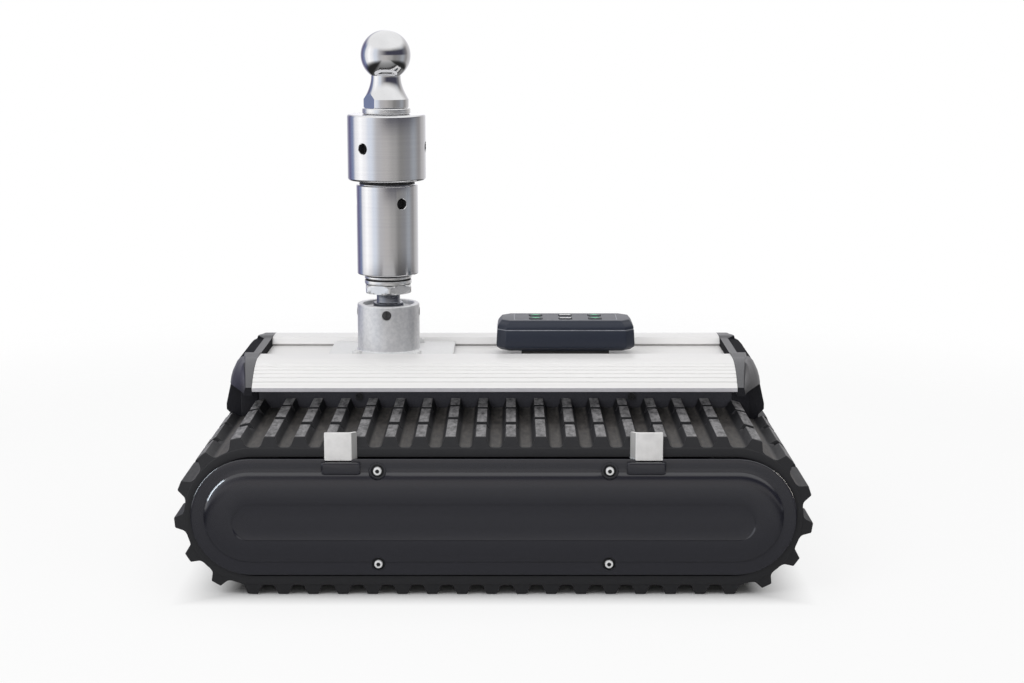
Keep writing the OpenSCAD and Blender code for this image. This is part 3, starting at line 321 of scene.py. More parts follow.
def repeatUnit(name, unit, places, paint):
    # one unit set out on points, each place being (position in mm, turn as Euler angles)
    tree = bpy.data.node_groups.new(name + "Layout", "GeometryNodeTree")
    sockets = {}
    for label, way, kind in (("Points", "INPUT", "Geometry"), ("Unit", "INPUT", "Object"),
                             ("Unit Size", "INPUT", "Float"), ("Finish", "INPUT", "Material"),
                             ("Pieces", "OUTPUT", "Geometry")):
        sockets[label] = tree.interface.new_socket(label, in_out=way,
                                                   socket_type="NodeSocket" + kind)
    start = addNode(tree, "NodeGroupInput").outputs
    source = addNode(tree, "GeometryNodeObjectInfo", {"Object": start["Unit"], "As Instance": True})
    turn = addNode(tree, "GeometryNodeInputNamedAttribute", {"Name": "unitTurn"},
                   data_type="FLOAT_VECTOR")
    aim = addNode(tree, "FunctionNodeEulerToRotation", {"Euler": turn.outputs["Attribute"]})
    onPoints = addNode(tree, "GeometryNodeInstanceOnPoints", {
        "Points": start["Points"], "Instance": source.outputs["Geometry"],
        "Rotation": aim.outputs["Rotation"], "Scale": start["Unit Size"]})
    realize = addNode(tree, "GeometryNodeRealizeInstances",
                      {"Geometry": onPoints.outputs["Instances"]})
    painted = addNode(tree, "GeometryNodeSetMaterial", {
        "Geometry": realize.outputs["Geometry"], "Material": start["Finish"]})
    addNode(tree, "NodeGroupOutput", {"Pieces": painted.outputs["Geometry"]})

    mesh = bpy.data.meshes.new(name)
    mesh.from_pydata([Vector(p) * mm for p, _ in places], [], [])
    turns = mesh.attributes.new("unitTurn", "FLOAT_VECTOR", "POINT")
    for i, (_, angles) in enumerate(places):
        turns.data[i].vector = angles
    piece = addObject(name, mesh)
    layout = piece.modifiers.new("layout", "NODES")
    layout.node_group = tree
    for label, value in (("Unit", unit), ("Unit Size", 1.0), ("Finish", paint)):
        layout[sockets[label].identifier] = value
    plainMesh(piece)
    bpy.data.objects.remove(unit)
    return dress(piece, paint)  # the tree leaves an empty slot ahead of the finish


def socketHead(name, r, height, hexR, depth, shankR, shank):
    # screw standing with its head's underside on z = 0, with a six-sided recess
    steps = 48
    rings = [ringOf(reach, z, steps) for reach, z in (
        (shankR - 0.4, -shank), (shankR, 0.4 - shank), (shankR, 0), (r - 0.2, 0), (r, 0.2),
        (r, height - 0.7), (r - 0.2, height - 0.25), (r - 0.7, height))]
    flat = hexR * math.cos(math.pi / 6)
    for z, share in ((height, 1), (height - 0.3, 0.94), (height - depth, 0.94)):
        rings.append(ringOf(lambda angle: sixSided(flat, angle) * share, z, steps))
    return makePiece(name, *loft(rings))


# finishes

def grainFinish(name, dark, light, rough, metal=0.0, size=80, stretch=(1, 1, 1), depth=0.0,
                gloss=0.5):
    # one noise varies the colour, the polish and, where there is a depth, the relief
    material, tree, shader = newMaterial(name)
    place = addNode(tree, "ShaderNodeTexCoord").outputs["Object"]
    grain = noiseNode(tree, place, stretch, Scale=size, Detail=4.0)
    tint = addNode(tree, "ShaderNodeValToRGB", {"Fac": grain})
    for stop, position, colour in zip(tint.color_ramp.elements, (0.35, 0.65), (dark, light)):
        stop.position = position
        stop.color = (*colour, 1)
    setInputs(tree, shader, {"Metallic": metal, "Specular IOR Level": gloss,
                             "Base Color": tint.outputs["Color"],
                             "Roughness": rangeNode(tree, grain, (0.0, 1.0), rough)})
    if depth:
        setInputs(tree, shader, {"Normal": reliefNode(tree, grain, 0.6, depth)})
    return material


# slot, material, dark and light colour, roughness at both, and the rest
finishRows = (
    ("anodised_aluminium", "anodisedRoof", (0.80, 0.79, 0.785), (0.83, 0.82, 0.815), (0.40, 0.46),
     dict(metal=0.1, size=50, stretch=(0.15, 9, 9), depth=0.006)),
    ("black_plastic", "blackPlastic", (0.012, 0.012, 0.015), (0.019, 0.019, 0.023), (0.20, 0.26),
     dict(size=900, depth=0.01, gloss=0.18)),
    ("painted_chassis", "chassisPaint", (0.050, 0.050, 0.060), (0.068, 0.068, 0.080), (0.40, 0.48),
     dict(size=600, depth=0.01)),
    ("black_screws", "blackScrew", (0.05, 0.05, 0.052), (0.09, 0.09, 0.093), (0.3, 0.4),
     dict(metal=0.6, size=500)),
    ("battery_case", "batteryCase", (0.03, 0.035, 0.05), (0.045, 0.05, 0.07), (0.45, 0.55),
     dict(size=120)),
    ("circuit_board", "circuitBoard", (0.02, 0.10, 0.04), (0.03, 0.16, 0.06), (0.35, 0.45),
     dict(size=300)),
    ("motor_paint", "motorPaint", (0.07, 0.07, 0.075), (0.10, 0.10, 0.105), (0.4, 0.5),
     dict(size=200)),
    ("black_steel_plate", "blackPlate", (0.03, 0.03, 0.032), (0.055, 0.055, 0.058), (0.45, 0.55),
     dict(metal=0.3, size=150)),
    ("bright_steel", "brightSteel", (0.80, 0.80, 0.80), (0.84, 0.84, 0.84), (0.20, 0.24),
     dict(metal=0.85, size=90)),
    ("satin_cover", "satinCover", (0.012, 0.012, 0.017), (0.016, 0.016, 0.022), (0.10, 0.13),
     dict(size=1400, depth=0.003, gloss=0.9)),
    ("guide_steel", "guideSteel", (0.74, 0.73, 0.72), (0.80, 0.79, 0.78), (0.34, 0.40),
     dict(metal=0.35, size=150)),
    ("cast_aluminium", "castAluminium", (0.70, 0.705, 0.72), (0.81, 0.81, 0.82), (0.40, 0.48),
     dict(metal=0.8, size=300, depth=0.03)),
    ("wheel_iron", "wheelIron", (0.06, 0.06, 0.062), (0.12, 0.12, 0.12), (0.5, 0.6),
     dict(metal=0.6, size=150, depth=0.05)),
    ("roller_plastic", "rollerPlastic", (0.05, 0.05, 0.05), (0.08, 0.08, 0.08), (0.4, 0.5),
     dict(size=200)),
    ("bearing_bronze", "bearingBronze", (0.45, 0.28, 0.12), (0.58, 0.38, 0.18), (0.3, 0.4),
     dict(metal=1.0, size=200)),
    ("dark_steel", "darkSteel", (0.20, 0.21, 0.24), (0.27, 0.28, 0.31), (0.22, 0.32),
     dict(metal=1.0, size=40, stretch=(1, 1, 12))),
    ("turned_aluminium", "turnedAluminium", (0.76, 0.76, 0.78), (0.80, 0.80, 0.81), (0.10, 0.13),
     dict(metal=1.0, size=24, stretch=(0.5, 0.5, 40), depth=0.0008)),
    ("ball_chrome", "ballChrome", (0.74, 0.74, 0.75), (0.80, 0.80, 0.81), (0.05, 0.07),
     dict(metal=1.0, size=60)),
    ("handset_plastic", "handsetPlastic", (0.010, 0.014, 0.026), (0.016, 0.021, 0.036),
     (0.34, 0.42), dict(size=1500, depth=0.02)),
    ("foot_rubber", "footRubber", (0.022, 0.022, 0.022), (0.034, 0.034, 0.034), (0.6, 0.7),
     dict(size=400)),
    ("cell_wrap", "cellWrap", (0.10, 0.14, 0.30), (0.13, 0.18, 0.36), (0.3, 0.4), dict(size=100)),
    ("drive_keys", "keyGreen", (0.05, 0.34, 0.17), (0.07, 0.42, 0.22), (0.4, 0.5), dict(size=300)),
    ("plain_keys", "keyWhite", (0.70, 0.70, 0.70), (0.80, 0.80, 0.80), (0.4, 0.5), dict(size=300)),
)
finish = {slotName: grainFinish(*look, **more) for slotName, *look, more in finishRows}
keyBlack = grainFinish("keyBlack", (0.014, 0.016, 0.022), (0.022, 0.025, 0.032), (0.42, 0.5),
                       size=800, depth=0.02)
# painted shade: a near-black finish for recesses, holes and narrow gaps where shade falls
recessPaintedShade = grainFinish("recessPaintedShade", (0.020, 0.020, 0.022), (0.032, 0.032, 0.034), (0.45, 0.55),
                       size=300)
capGrain = grainFinish("capGrain", (0.075, 0.075, 0.080), (0.125, 0.125, 0.132), (0.42, 0.52),
                       size=1300, depth=0.03)
# painted shade: near-black for the caps' crease and end wall over the trough
capPaintedShade = grainFinish("capPaintedShade", (0.006, 0.006, 0.008), (0.012, 0.012, 0.015), (0.7, 0.8),
                       size=900, gloss=0.05)
platePale = grainFinish("platePale", (0.74, 0.74, 0.74), (0.78, 0.78, 0.78), (0.4, 0.46),
                        metal=0.2, size=300)
# painted shade: a greyer finish for the roof's lip band, which faces down under the wing
lipPaintedShade = grainFinish("lipPaintedShade", (0.52, 0.51, 0.54), (0.56, 0.55, 0.58), (0.4, 0.46), size=200)
# painted shade: a darker grey for the wall of the undercut at the trough floor's edge
jointPaintedShade = grainFinish("jointPaintedShade", (0.40, 0.39, 0.385), (0.44, 0.43, 0.425), (0.6, 0.7),
                         size=200, gloss=0.1)
# painted shade: a darker finish for the guides' bent flanges
flangePaintedShade = grainFinish("flangePaintedShade", (0.32, 0.315, 0.31), (0.38, 0.375, 0.37), (0.36, 0.44),
                        metal=0.35, size=150, stretch=(1, 1, 0.2))
seamPale = grainFinish("seamPale", (0.20, 0.21, 0.24), (0.28, 0.29, 0.32), (0.4, 0.5), size=300)


# tracks: a belt loop and lugs set out round it, partly under the roof

roofSizes = Sizes(
    floorHalf=44.5, undercut=2.0, slope=4.5, joint=2.4, shoulderY=70.0, shoulderR=72.0, edgeY=121.0,
    wall=3.5, ribY=66.0, floorThick=4.0, grooves=6, grooveStart=16.2, grooveStep=4.6,
    grooveWidth=1.3, grooveDeep=1.1, firstGroove=0.45)
trackSizes = Sizes(
    lugs=45, offset=-12.0, pitchR=58.5, beltR=66.0, innerR=57.0, tipR=76.0, topHalf=4.7,
    rootHalf=8.2, flare=13.0, endSlope=3.2, foot=3.0, bend=0.019, notchFloor=4.6,
    notches=(((42.8, 9.6), (111.3, 13.3)), ((32.0, 9.0), (89.7, 11.5))))
# rubber colours and wear, and painted light: the pale tip and pale floor colours under the roof's
# wing, with their fades
trackWearAndPaintedLight = Sizes(
    rubber=(0.016, 0.016, 0.018), tip=(0.25, 0.245, 0.25), floor=(0.10, 0.092, 0.085),
    paleTip=(0.45, 0.44, 0.45), paleFloor=(0.21, 0.195, 0.18), tipFade=(-0.45, -0.1),
    floorFade=(1.8, 0.2), edgeFade=(-2.0, -4.5), wingFade=(4, -14), topFade=(56, 64),
    tipPatch=(0.30, 0.62), floorPatch=(0.25, 0.75), rough=(0.5, 0.72))
wheelLow, wheelHigh = boxOf("idler_wheel_near")
axleX, axleZ = -(wheelLow.x + wheelHigh.x) / 2, (wheelLow.z + wheelHigh.z) / 2


def rubberFinish(outerEdge):
    # worn grey lug tips and dusty belt floor, by the distance from the loop's middle line, with
    # painted light making both paler under the roof's wing
    t, w = trackSizes, trackWearAndPaintedLight
    material, tree, shader = newMaterial("trackRubber")
    place, x, y, z = placeNodes(tree)
    aside, across = mathNode(tree, "ABSOLUTE", x), mathNode(tree, "ABSOLUTE", y)
    past = mathNode(tree, "MAXIMUM", mathNode(tree, "SUBTRACT", aside, axleX * mm), 0.0)
    rise = mathNode(tree, "SUBTRACT", z, axleZ * mm)
    spot = addNode(tree, "ShaderNodeCombineXYZ", {"X": past, "Z": rise}).outputs["Vector"]
    reach = distanceNode(tree, spot)
    streak = noiseNode(tree, place, (1.0, 0.35, 1.0), Scale=240.0, Detail=6.0, Roughness=0.65)

    def fades(value, base, span):
        return rangeNode(tree, value, [(base + part) * mm for part in span])

    inside = fades(across, outerEdge, w.edgeFade)
    tipWear = product(tree, fades(reach, t.tipR, w.tipFade), inside,
                      rangeNode(tree, streak, w.tipPatch))
    floorWear = product(tree, fades(reach, t.beltR, w.floorFade), inside,
                        rangeNode(tree, streak, w.floorPatch))
    # painted light: tips and floor paler on the top run under the roof's wing, where its shade
    # falls
    underWingPaintedLight = product(tree, fades(across, roofSizes.edgeY, w.wingFade),
                        fades(z, axleZ, w.topFade))
    base = mixColour(tree, floorWear, w.rubber,
                     mixColour(tree, underWingPaintedLight, w.floor, w.paleFloor))
    top = mixColour(tree, tipWear, base, mixColour(tree, underWingPaintedLight, w.tip, w.paleTip))
    setInputs(tree, shader, {"Base Color": top, "Normal": reliefNode(tree, streak, 0.5, 0.1),
                             "Roughness": rangeNode(tree, streak, (0.0, 1.0), w.rough)})
    return material


def loopPlace(distance, halfLoop):
    # place on the loop's middle line and the turn about Y, from the middle of the top run
    if distance < axleX:
        return distance, 0.0
    if distance < axleX + halfLoop:
        return axleX, math.pi * (distance - axleX) / halfLoop
    if distance < 3 * axleX + halfLoop:
        return 2 * axleX + halfLoop - distance, math.pi
    if distance < 3 * axleX + 2 * halfLoop:
        return -axleX, math.pi + math.pi * (distance - 3 * axleX - halfLoop) / halfLoop
    return distance - 4 * axleX - 2 * halfLoop, 0.0


def lugUnit(edge0, edge1, notches, bent):
    # edge0 is the chassis side and edge1 the outer side, along -Y; a bent one follows the wheel
    t = trackSizes
    foot, tall, floor = t.foot, t.tipR - t.beltR, t.notchFloor
    half = [(t.flare, -0.4), (t.rootHalf, 0.5, 4.0), (t.topHalf, tall, 1.1)]
    corners = [(-x, *rest) for x, *rest in half] + half[::-1]
    outline = [(x, z - bent * max(0, abs(x) - t.topHalf) ** 2 * t.bend)
               for x, z in roundedLine(corners, False, 4)]
    outline += [(t.flare, -foot), (-t.flare, -foot)]

    def ring(y, ceiling, slope=0.0):
        points = []
        for x, z in outline:
            z = min(z, ceiling)
            points.append((x, -(y - slope * (z + foot) / (tall + foot)), t.beltR + z))
        return points

    rings = [ring(edge0, tall - 0.7), ring(edge0 + 0.8, tall)]
    for start, width in notches:
        y0, y1 = edge0 + start, edge0 + start + width
        rings += [ring(y, ceiling) for y, ceiling in (
            (y0 - 0.5, tall), (y0, tall - 0.5), (y0 + 0.6, floor),
            (y1 - 0.6, floor), (y1, tall - 0.5), (y1 + 0.5, tall))]
    rings += [ring(edge1 - 0.9, tall, t.endSlope), ring(edge1, tall - 0.8, t.endSlope)]
    return makePiece("lugUnit", *loft(rings), sharp=32)


def makeTracks():
    t = trackSizes
    low, high = boxOf("track_near")
    edge0, edge1 = -high.y, -low.y
    finish["track_rubber"] = rubberFinish(edge1)
    section = roundedLine([(edge0, t.innerR, 0.6), (edge1, t.innerR, 0.6),
                           (edge1, t.beltR, 0.9), (edge0, t.beltR, 0.6)], steps=3)
    rings = [stadiumRing(axleX, r, -y, axleZ, 40, 44) for y, r in section]
    belt = makePiece("beltNear", *loft(rings, True), sharp=40)
    halfLoop = math.pi * t.pitchR
    length = 4 * axleX + 2 * halfLoop
    layouts = {}
    for i in range(t.lugs):
        distance = (length + t.offset + (i - t.lugs // 2) * length / t.lugs) % length
        x, turn = loopPlace(distance, halfLoop)
        kind = (int(i % 3 == 0), int(turn not in (0.0, math.pi)))
        layouts.setdefault(kind, []).append(((x, 0, axleZ), (0, turn, 0)))
    pieces = [belt]
    for (notched, bent), places in layouts.items():
        unit = lugUnit(edge0, edge1, t.notches[notched], bent)
        pieces.append(repeatUnit("lugsNear%d%d" % (notched, bent), unit, places,
                                 finish["track_rubber"]))
    near = smoothPiece(joined("trackNear", pieces), 32)
    far = halfTurned(near, "trackFar")
    settle(near, "track_rubber", "frame", "track_near")
    settle(far, "track_rubber", "frame", "track_far")
    print("tracks done:", t.lugs, "lugs each")


makeTracks()


# side covers, their screws and the moulded pockets

coverSizes = Sizes(
    r=55.5, rimWidth=12.6, rimHigh=4.0, rimR=1.2, domeRun=21.0, faceHigh=7.5, panelHalf=243.0,
    panelR=18.0, panelDrop=5.0, panelDeep=1.1, screwX=107.5, screwZ=44.5, recessR=8.2,
    lowRecess=1.4, boreR=6.0, headR=3.8, headHigh=4.0, headSunk=1.6, hexR=2.1, hexDeep=2.2,
    shankR=2.5, shank=11.0, pocketX=141.3, pocketHalf=18.1, pocketHigh=11.6, pocketDrop=2.2,
    pocketR=3.0, pocketTopR=1.2)


def makeCovers():
    c = coverSizes
    low, high = boxOf("cover_near")
    centreZ, backY = (low.z + high.z) / 2, high.y
    half = (high.x - low.x) / 2 - c.r
    rim, width, soft = c.rimHigh, c.rimWidth, c.rimR
    # rows of (inset, height) from the rim's back over its edge and up the dome
    rows = [(0.6, 0.0), (0.0, 0.5), (0.0, rim - soft)]
    for k in range(1, 5):
        angle = math.pi / 2 * k / 4
        rows.append((soft - soft * math.cos(angle), rim - soft + soft * math.sin(angle)))
    rows += [(4.0, rim), (8.0, rim), (width - 0.8, rim), (width - 0.2, rim + 0.1),
             (width + 0.2, rim + 0.5), (width + 0.5, rim + 1.0)]
    for k in range(1, 13):
        share = k / 12
        rise = math.sqrt(1 - (1 - share) ** 2.2)
        rows.append((width + 0.5 + c.domeRun * share,
                     rim + 1.0 + (c.faceHigh - rim - 1.0) * rise))
    rings = [stadiumRing(half, c.r - inset, backY - y, centreZ) for inset, y in rows]
    deep, panelR = c.panelDeep, c.panelR  # the sunk panel in the dome
    for r, y in ((panelR + 1.1, 0.0), (panelR + 0.6, 0.12), (panelR, 0.6),
                 (panelR - 0.5, deep - 0.12), (panelR - 1.1, deep), (5.0, deep)):
        rings.append(stadiumRing(c.panelHalf - panelR, r, backY - c.faceHigh + y,
                                 centreZ - c.panelDrop))
    cover = makePiece("coverNear", *loft(rings), sharp=30)
    screws = [(x, side) for x in (-c.screwX, c.screwX) for side in (-1, 1)]
    spots = [(x, centreZ + side * c.screwZ) for x, side in screws]
    cutters = []
    for (x, side), (_, z) in zip(screws, spots):
        bore = lathe("bore", [(c.boreR, -30), (c.boreR, 20)], steps=48)
        r = c.recessR - c.lowRecess * (side < 0)
        well = lathe("well", [(r - 0.5, -0.4), (r, 0.2), (r + 0.3, 9.0)], steps=64)
        cutters += [moved(bore, (x, backY - rim, z), ("X", math.pi / 2)),
                    moved(well, (x, backY - rim + 0.5, z), ("X", math.pi / 2))]
    pieces = [cutWith(cover, cutters, 30)]
    top, wide = centreZ + c.r - c.pocketDrop, c.pocketHalf
    for x in (-c.pocketX, c.pocketX):
        corners = boxCorners(x - wide, top - c.pocketHigh, x + wide, top, c.pocketR, c.pocketTopR)
        block = []
        for inset, y in ((0.4, 1.0), (0.0, 1.4), (0.0, 6.2), (0.35, 7.1), (1.2, 7.6), (2.4, 7.75)):
            eased = [(x + (a - x) * (1 - inset / wide), b + (inset if b < top - 3 else -inset), r)
                     for a, b, r in corners]
            block.append([(a, backY - y, b) for a, b in roundedLine(eased, steps=4)])
        pieces.append(makePiece("pocket", *loft(block), sharp=30))
    near = smoothPiece(joined("coverNear", pieces), 30)
    far = halfTurned(near, "coverFar")
    settle(near, "satin_cover", "frame", "cover_near")
    settle(far, "satin_cover", "frame", "cover_far")

    unit = socketHead("coverHead", c.headR, c.headHigh, c.hexR, c.hexDeep, c.shankR, c.shank)
    headY = backY - rim + c.headSunk
    places = []
    for x, z in spots:
        places += [((x, headY, z), (math.pi / 2, 0, 0)), ((x, -headY, z), (-math.pi / 2, 0, 0))]
    heads = repeatUnit("coverScrewHeads", unit, places, platePale)
    settle(heads, "bright_steel", "frame", "cover_screws", paint=platePale)
    # painted shade in the heads' six-sided recesses
    paintFaces(heads, recessPaintedShade, lambda spot, face: min(
        math.hypot(spot.x - x, spot.z - z) for x, z in spots) < c.hexR)
    print("covers done:", len(places), "screws")


makeCovers()


# bent guide plates beside the belt

guideSizes = Sizes(
    outer=156.4, fold=131.4, flange=126.2, sheet=2.5, flangeBack=4.6, outY=236.5, footHigh=122.2,
    footY=227.2, tabY=(229.6, 227.1), edge=0.8)


def makeGuides():
    g = guideSizes
    low, high = boxOf("track_guides")
    front, outer, fold, flange = -g.outY, g.outer, g.fold, g.flange
    heel, back, footTop = front + g.flangeBack, front + g.sheet, g.footHigh + g.sheet
    plates = []
    for side in (-1, 1):
        outline = [(side * outer, front, 0.5), (side * fold, front, 1.2),
                   (side * flange, heel, 0.4), (side * (flange + 1.6), heel + 1.6, 0.4),
                   (side * (fold + 1.2), back, 1.0), (side * outer, back, 0.5)]
        middle = side * (outer + flange) / 2
        rings = []
        for z, inset in ((g.footHigh, 0.0), (high.z - 0.7, 0.0), (high.z - 0.2, 0.2),
                         (high.z, 0.6)):
            eased = [(x + (inset if x < middle else -inset), y + (inset if y < front + 1 else 0), r)
                     for x, y, r in outline]
            rings.append([(x, y, z) for x, y in roundedLine(eased, steps=4)])
        left, right = sorted((side * outer, side * fold))
        plates += [makePiece("guidePlate", *loft(rings), sharp=30),
                   softBox("guideFoot", (left, front, g.footHigh), (right, -g.footY, footTop),
                           g.edge),
                   softBox("guideTab", (left, -g.tabY[0], low.z), (right, -g.tabY[1], footTop),
                           g.edge)]
    near = joined("guidesNear", plates)
    both = smoothPiece(joined("guidePlates", [near, halfTurned(near, "guidesFar")]), 30)
    settle(both, "guide_steel", "frame", "track_guides")
    # painted shade on the bent flanges
    paintFaces(both, flangePaintedShade, lambda spot, face: abs(spot.x) < fold - 0.6
               and abs(face.normal.z) < 0.5)
    print("guides done")


makeGuides()


# roof extrusion

def roofShoulder(crest):
    # half of the outer line from the crest down to the wing's lower edge, as (y, z)
    r = roofSizes
    edgeAngle = math.asin((r.edgeY - r.shoulderY) / r.shoulderR)
    half = r.grooveWidth / 2 / r.shoulderR
    grooves = [math.radians(r.grooveStart + i * r.grooveStep) for i in range(r.grooves)]
    line = []
    for i, middle in enumerate(grooves):
        deep = r.grooveDeep * (r.firstGroove if i == 0 else 1.0)
        for aside, share in ((-1.3, 0.0), (-1.0, 0.12), (-0.55, 0.8), (0.0, 1.0), (0.55, 0.8),
                             (1.0, 0.12), (1.3, 0.0)):
            line.append((middle + half * aside, share * deep))
    for k in range(61):
        angle = edgeAngle * k / 60
        if all(abs(angle - middle) > 1.6 * half for middle in grooves):
            line.append((angle, 0.0))
    points = []
    for angle, inset in sorted(line):
        reach = r.shoulderR - inset
        points.append((r.shoulderY + reach * math.sin(angle),
                       crest - r.shoulderR + reach * math.cos(angle)))
    return points


def makeRoof():
    r = roofSizes
    low, high = boxOf("roof")
    crest, floor = high.z, boxOf("hitch_socket")[0].z
    half, ceiling, wall = r.floorHalf, floor + r.joint, r.floorHalf + r.undercut
    inner = roundedLine([(0, floor), (wall, floor), (wall, ceiling), (half + 0.4, ceiling),
                         (half + r.slope, crest, 0.9), (r.shoulderY, crest)], False)
    outer = roofShoulder(crest)
    edgeY, edgeZ = outer[-1]
    lip = [(edgeY, low.z + 0.4), (edgeY - 0.5, low.z), (edgeY - r.wall, low.z)]
    insideR = r.shoulderR - r.wall
    lipAngle = math.asin((edgeY - r.wall - r.shoulderY) / insideR)
    under = []
    for k in range(25):
        angle = lipAngle * (1 - k / 24)
        under.append((r.shoulderY + insideR * math.sin(angle),
                      crest - r.shoulderR + insideR * math.cos(angle)))
    below = floor - r.floorThick
    under += [(r.ribY, under[-1][1] - 1.0), (r.ribY, below), (0, below)]
    side = inner + outer[1:] + lip + under
    outline = side + [(-y, z) for y, z in reversed(side) if y > 1e-6]
    rings = [[(x, y, z) for y, z in outline] for x in (low.x, high.x)]
    roof = makePiece("roofExtrusion", *loft(rings), sharp=22)
    settle(roof, "anodised_aluminium", "frame", "roof")
    # painted shade on the undercut's wall at the trough floor's edge
    paintFaces(roof, jointPaintedShade, lambda spot, face: abs(abs(spot.y) - wall) < 0.1
               and spot.z < ceiling)
    # painted shade on the lip band below the wing's lower edge
    paintFaces(roof, lipPaintedShade, lambda spot, face: abs(spot.y) > edgeY - 0.6 and spot.z < edgeZ)
    print("roof done:", r.grooves, "grooves a side")


makeRoof()


# end caps: a strip that carries the roof's line on, a crease and a bulging end

capSizes = Sizes(
    lowZ=167.8, saddle=196.8, saddleHalf=45.5, lip=198.6, lipStart=50.5, lipEnd=56.0,
    shoulder=197.3, shoulderR=72.3, brow=16.0, browShoulder=12.7, browEdge=6.0, strip=7.5,
    flat=52.0, leanEdge=0.1, slotHalf=45.0, slotLow=182.0, slotHigh=191.0, slotR=3.5, columns=242,
    face=((0.0, 0.6), (0.03, 3.4), (0.066, 4.6), (0.18, 7.5), (0.33, 9.5), (0.55, 12.3),
          (0.77, 14.0), (1.0, 15.0)))  # (share of the fall, way out)


def between(value, low, high):
    return max(0.0, min(1.0, (value - low) / (high - low)))


def capTop(y):
    c, r = capSizes, roofSizes
    if y < c.lipStart:
        share = between(y, c.saddleHalf, c.lipStart)
        return c.saddle + (c.lip - c.saddle) * share * share * (3 - 2 * share)
    if y < r.shoulderY:
        return c.lip + (c.shoulder - c.lip) * between(y, c.lipEnd, r.shoulderY)
    fall = math.sqrt(c.shoulderR ** 2 - (y - r.shoulderY) ** 2)
    return c.shoulder - c.shoulderR + fall


def capBrow(y):
    # where the top of the cap ends and where its grained strip ends, both from the roof's end
    c, r = capSizes, roofSizes
    brow = c.brow + (c.browShoulder - c.brow) * between(y, c.lipStart, r.shoulderY)
    brow += (c.browEdge - c.browShoulder) * between(y, r.shoulderY, r.edgeY)
    return brow, brow - c.strip * (1 - between(y, c.saddleHalf, c.lipStart))


def makeCaps():
    c, r = capSizes, roofSizes
    start = boxOf("roof")[1].x
    columns = []
    for k in range(c.columns + 1):
        y = -r.edgeY + 2 * r.edgeY * k / c.columns
        top = capTop(abs(y))
        brow, strip = (start + part for part in capBrow(abs(y)))
        share = between(abs(y), c.flat, r.edgeY) ** 0.9
        lean = c.leanEdge + (1 - c.leanEdge) * (0.5 + 0.5 * math.cos(math.pi * share))
        faceTop = min(top, c.saddle - 1.4) - 0.5
        ring = [(start, y, c.lowZ), (start, y, top - 0.3), (start + 0.3, y, top),
                (start + (strip - start) * 0.6, y, top), (strip - 0.5, y, top),
                (strip, y, top - 0.25)]
        for fall, out in c.face:
            ring.append((brow + 0.3 + out * lean, y, faceTop - fall * (faceTop - c.lowZ)))
        columns.append(ring)
    cap = makePiece("capRight", *loft(columns), sharp=24)
    slot = []
    for out, grow in ((10.0, -0.6), (24.0, 0.0), (40.0, 1.2)):
        wide = c.slotHalf + grow
        corners = boxCorners(-wide, c.slotLow - grow, wide, c.slotHigh + grow, c.slotR)
        slot.append([(start + out, y, z) for y, z in roundedLine(corners, steps=5)])
    right = cutWith(cap, [makePiece("slot", *loft(slot))], 24)
    left = halfTurned(right, "capLeft")

    def onStrip(spot, face):
        return face.normal.z > 0.35 and 0.3 < abs(spot.x) - start < capBrow(abs(spot.y))[1] - 0.2

    # faces for painted shade: the cap's wall at the roof's end and the slope behind the brow, over
    # the trough
    def inCrease(spot, face):
        reach, strip = abs(spot.x) - start, capBrow(abs(spot.y))[1] - 0.2
        behindBrow = face.normal.z > 0.1 and strip < reach < c.brow + 6
        return abs(spot.y) < c.lipStart and (reach < 0.2 or behindBrow)

    for cap, node in ((right, "end_cap_right"), (left, "end_cap_left")):
        settle(cap, "black_plastic", "frame", node)
        paintFaces(cap, capGrain, onStrip)
        paintFaces(cap, capPaintedShade, inCrease)
    print("end caps done")


makeCaps()


# lower end covers

endSizes = Sizes(
    toe=4.5, waistIn=10.0, lipDrop=28.0, lipOut=5.5, lipHigh=6.0, topIn=5.0, skirtLong=17.0,
    skirtY=(49.0, 52.0))


def makeEndCovers():
    e = endSizes
    low, high = boxOf("chassis_end_covers")
    edge, end, lip = boxOf("chassis_box")[1].x, high.x, high.z - e.lipDrop
    outline = roundedLine([(edge, low.z, 0.4), (edge + e.toe, low.z, 2.5),
                           (end - e.waistIn, axleZ, 8.0),
                           (end - e.lipOut, lip - e.lipOut, 3.0), (end, lip, 1.6),
                           (end, lip + e.lipHigh, 5.0), (end - e.topIn, high.z, 1.2),
                           (edge, high.z, 0.3)], steps=5)
    rings = []
    for y, inset in ((low.y, 1.2), (low.y + 0.4, 0.4), (low.y + 1.2, 0.0), (high.y - 1.2, 0.0),
                     (high.y - 0.4, 0.4), (high.y, 1.2)):
        rings.append([(x - inset * (x > edge + 1), y, z) for x, z in outline])
    pieces = [makePiece("endCover", *loft(rings), sharp=30)]
    for side in (-1, 1):
        y0, y1 = sorted(side * y for y in e.skirtY)
        pieces.append(softBox("endSkirt", (edge - e.skirtLong, y0, low.z + 1),
                              (edge + 1.0, y1, high.z - 1), 1.0))
    right = joined("endCoverRight", pieces)
    both = smoothPiece(joined("endCovers", [right, halfTurned(right, "endCoverLeft")]), 30)
    settle(both, "black_plastic", "frame", "chassis_end_covers")
    print("lower end covers done")


makeEndCovers()


# hitch socket in the trough

socketSizes = Sizes(
    r=32.0, bore=26.0, fillet=3.5, plateHigh=6.0, plateHalfX=64.0, plateHalfY=43.0, plateShift=4.0,
    plateEdge=2.6, discR=17.0, headR=5.0, headHigh=4.0, hexR=2.6, hexDeep=2.2, shankR=4.0,
    shank=20.0, screwX=30.5, screwY=36.0, setR=4.5, setLong=8.0, setSlot=0.8)
ballLow, ballHigh = boxOf("tow_ball")
postX = (ballLow.x + ballHigh.x) / 2
centre = (postX, 0)  # the post's axis


def paintPost(piece, paint, chosen):
    # faces picked by their middle's distance from the post's axis and height, in millimetres
    paintFaces(piece, paint, lambda spot, face: chosen(math.hypot(spot.x - postX, spot.y), spot.z))


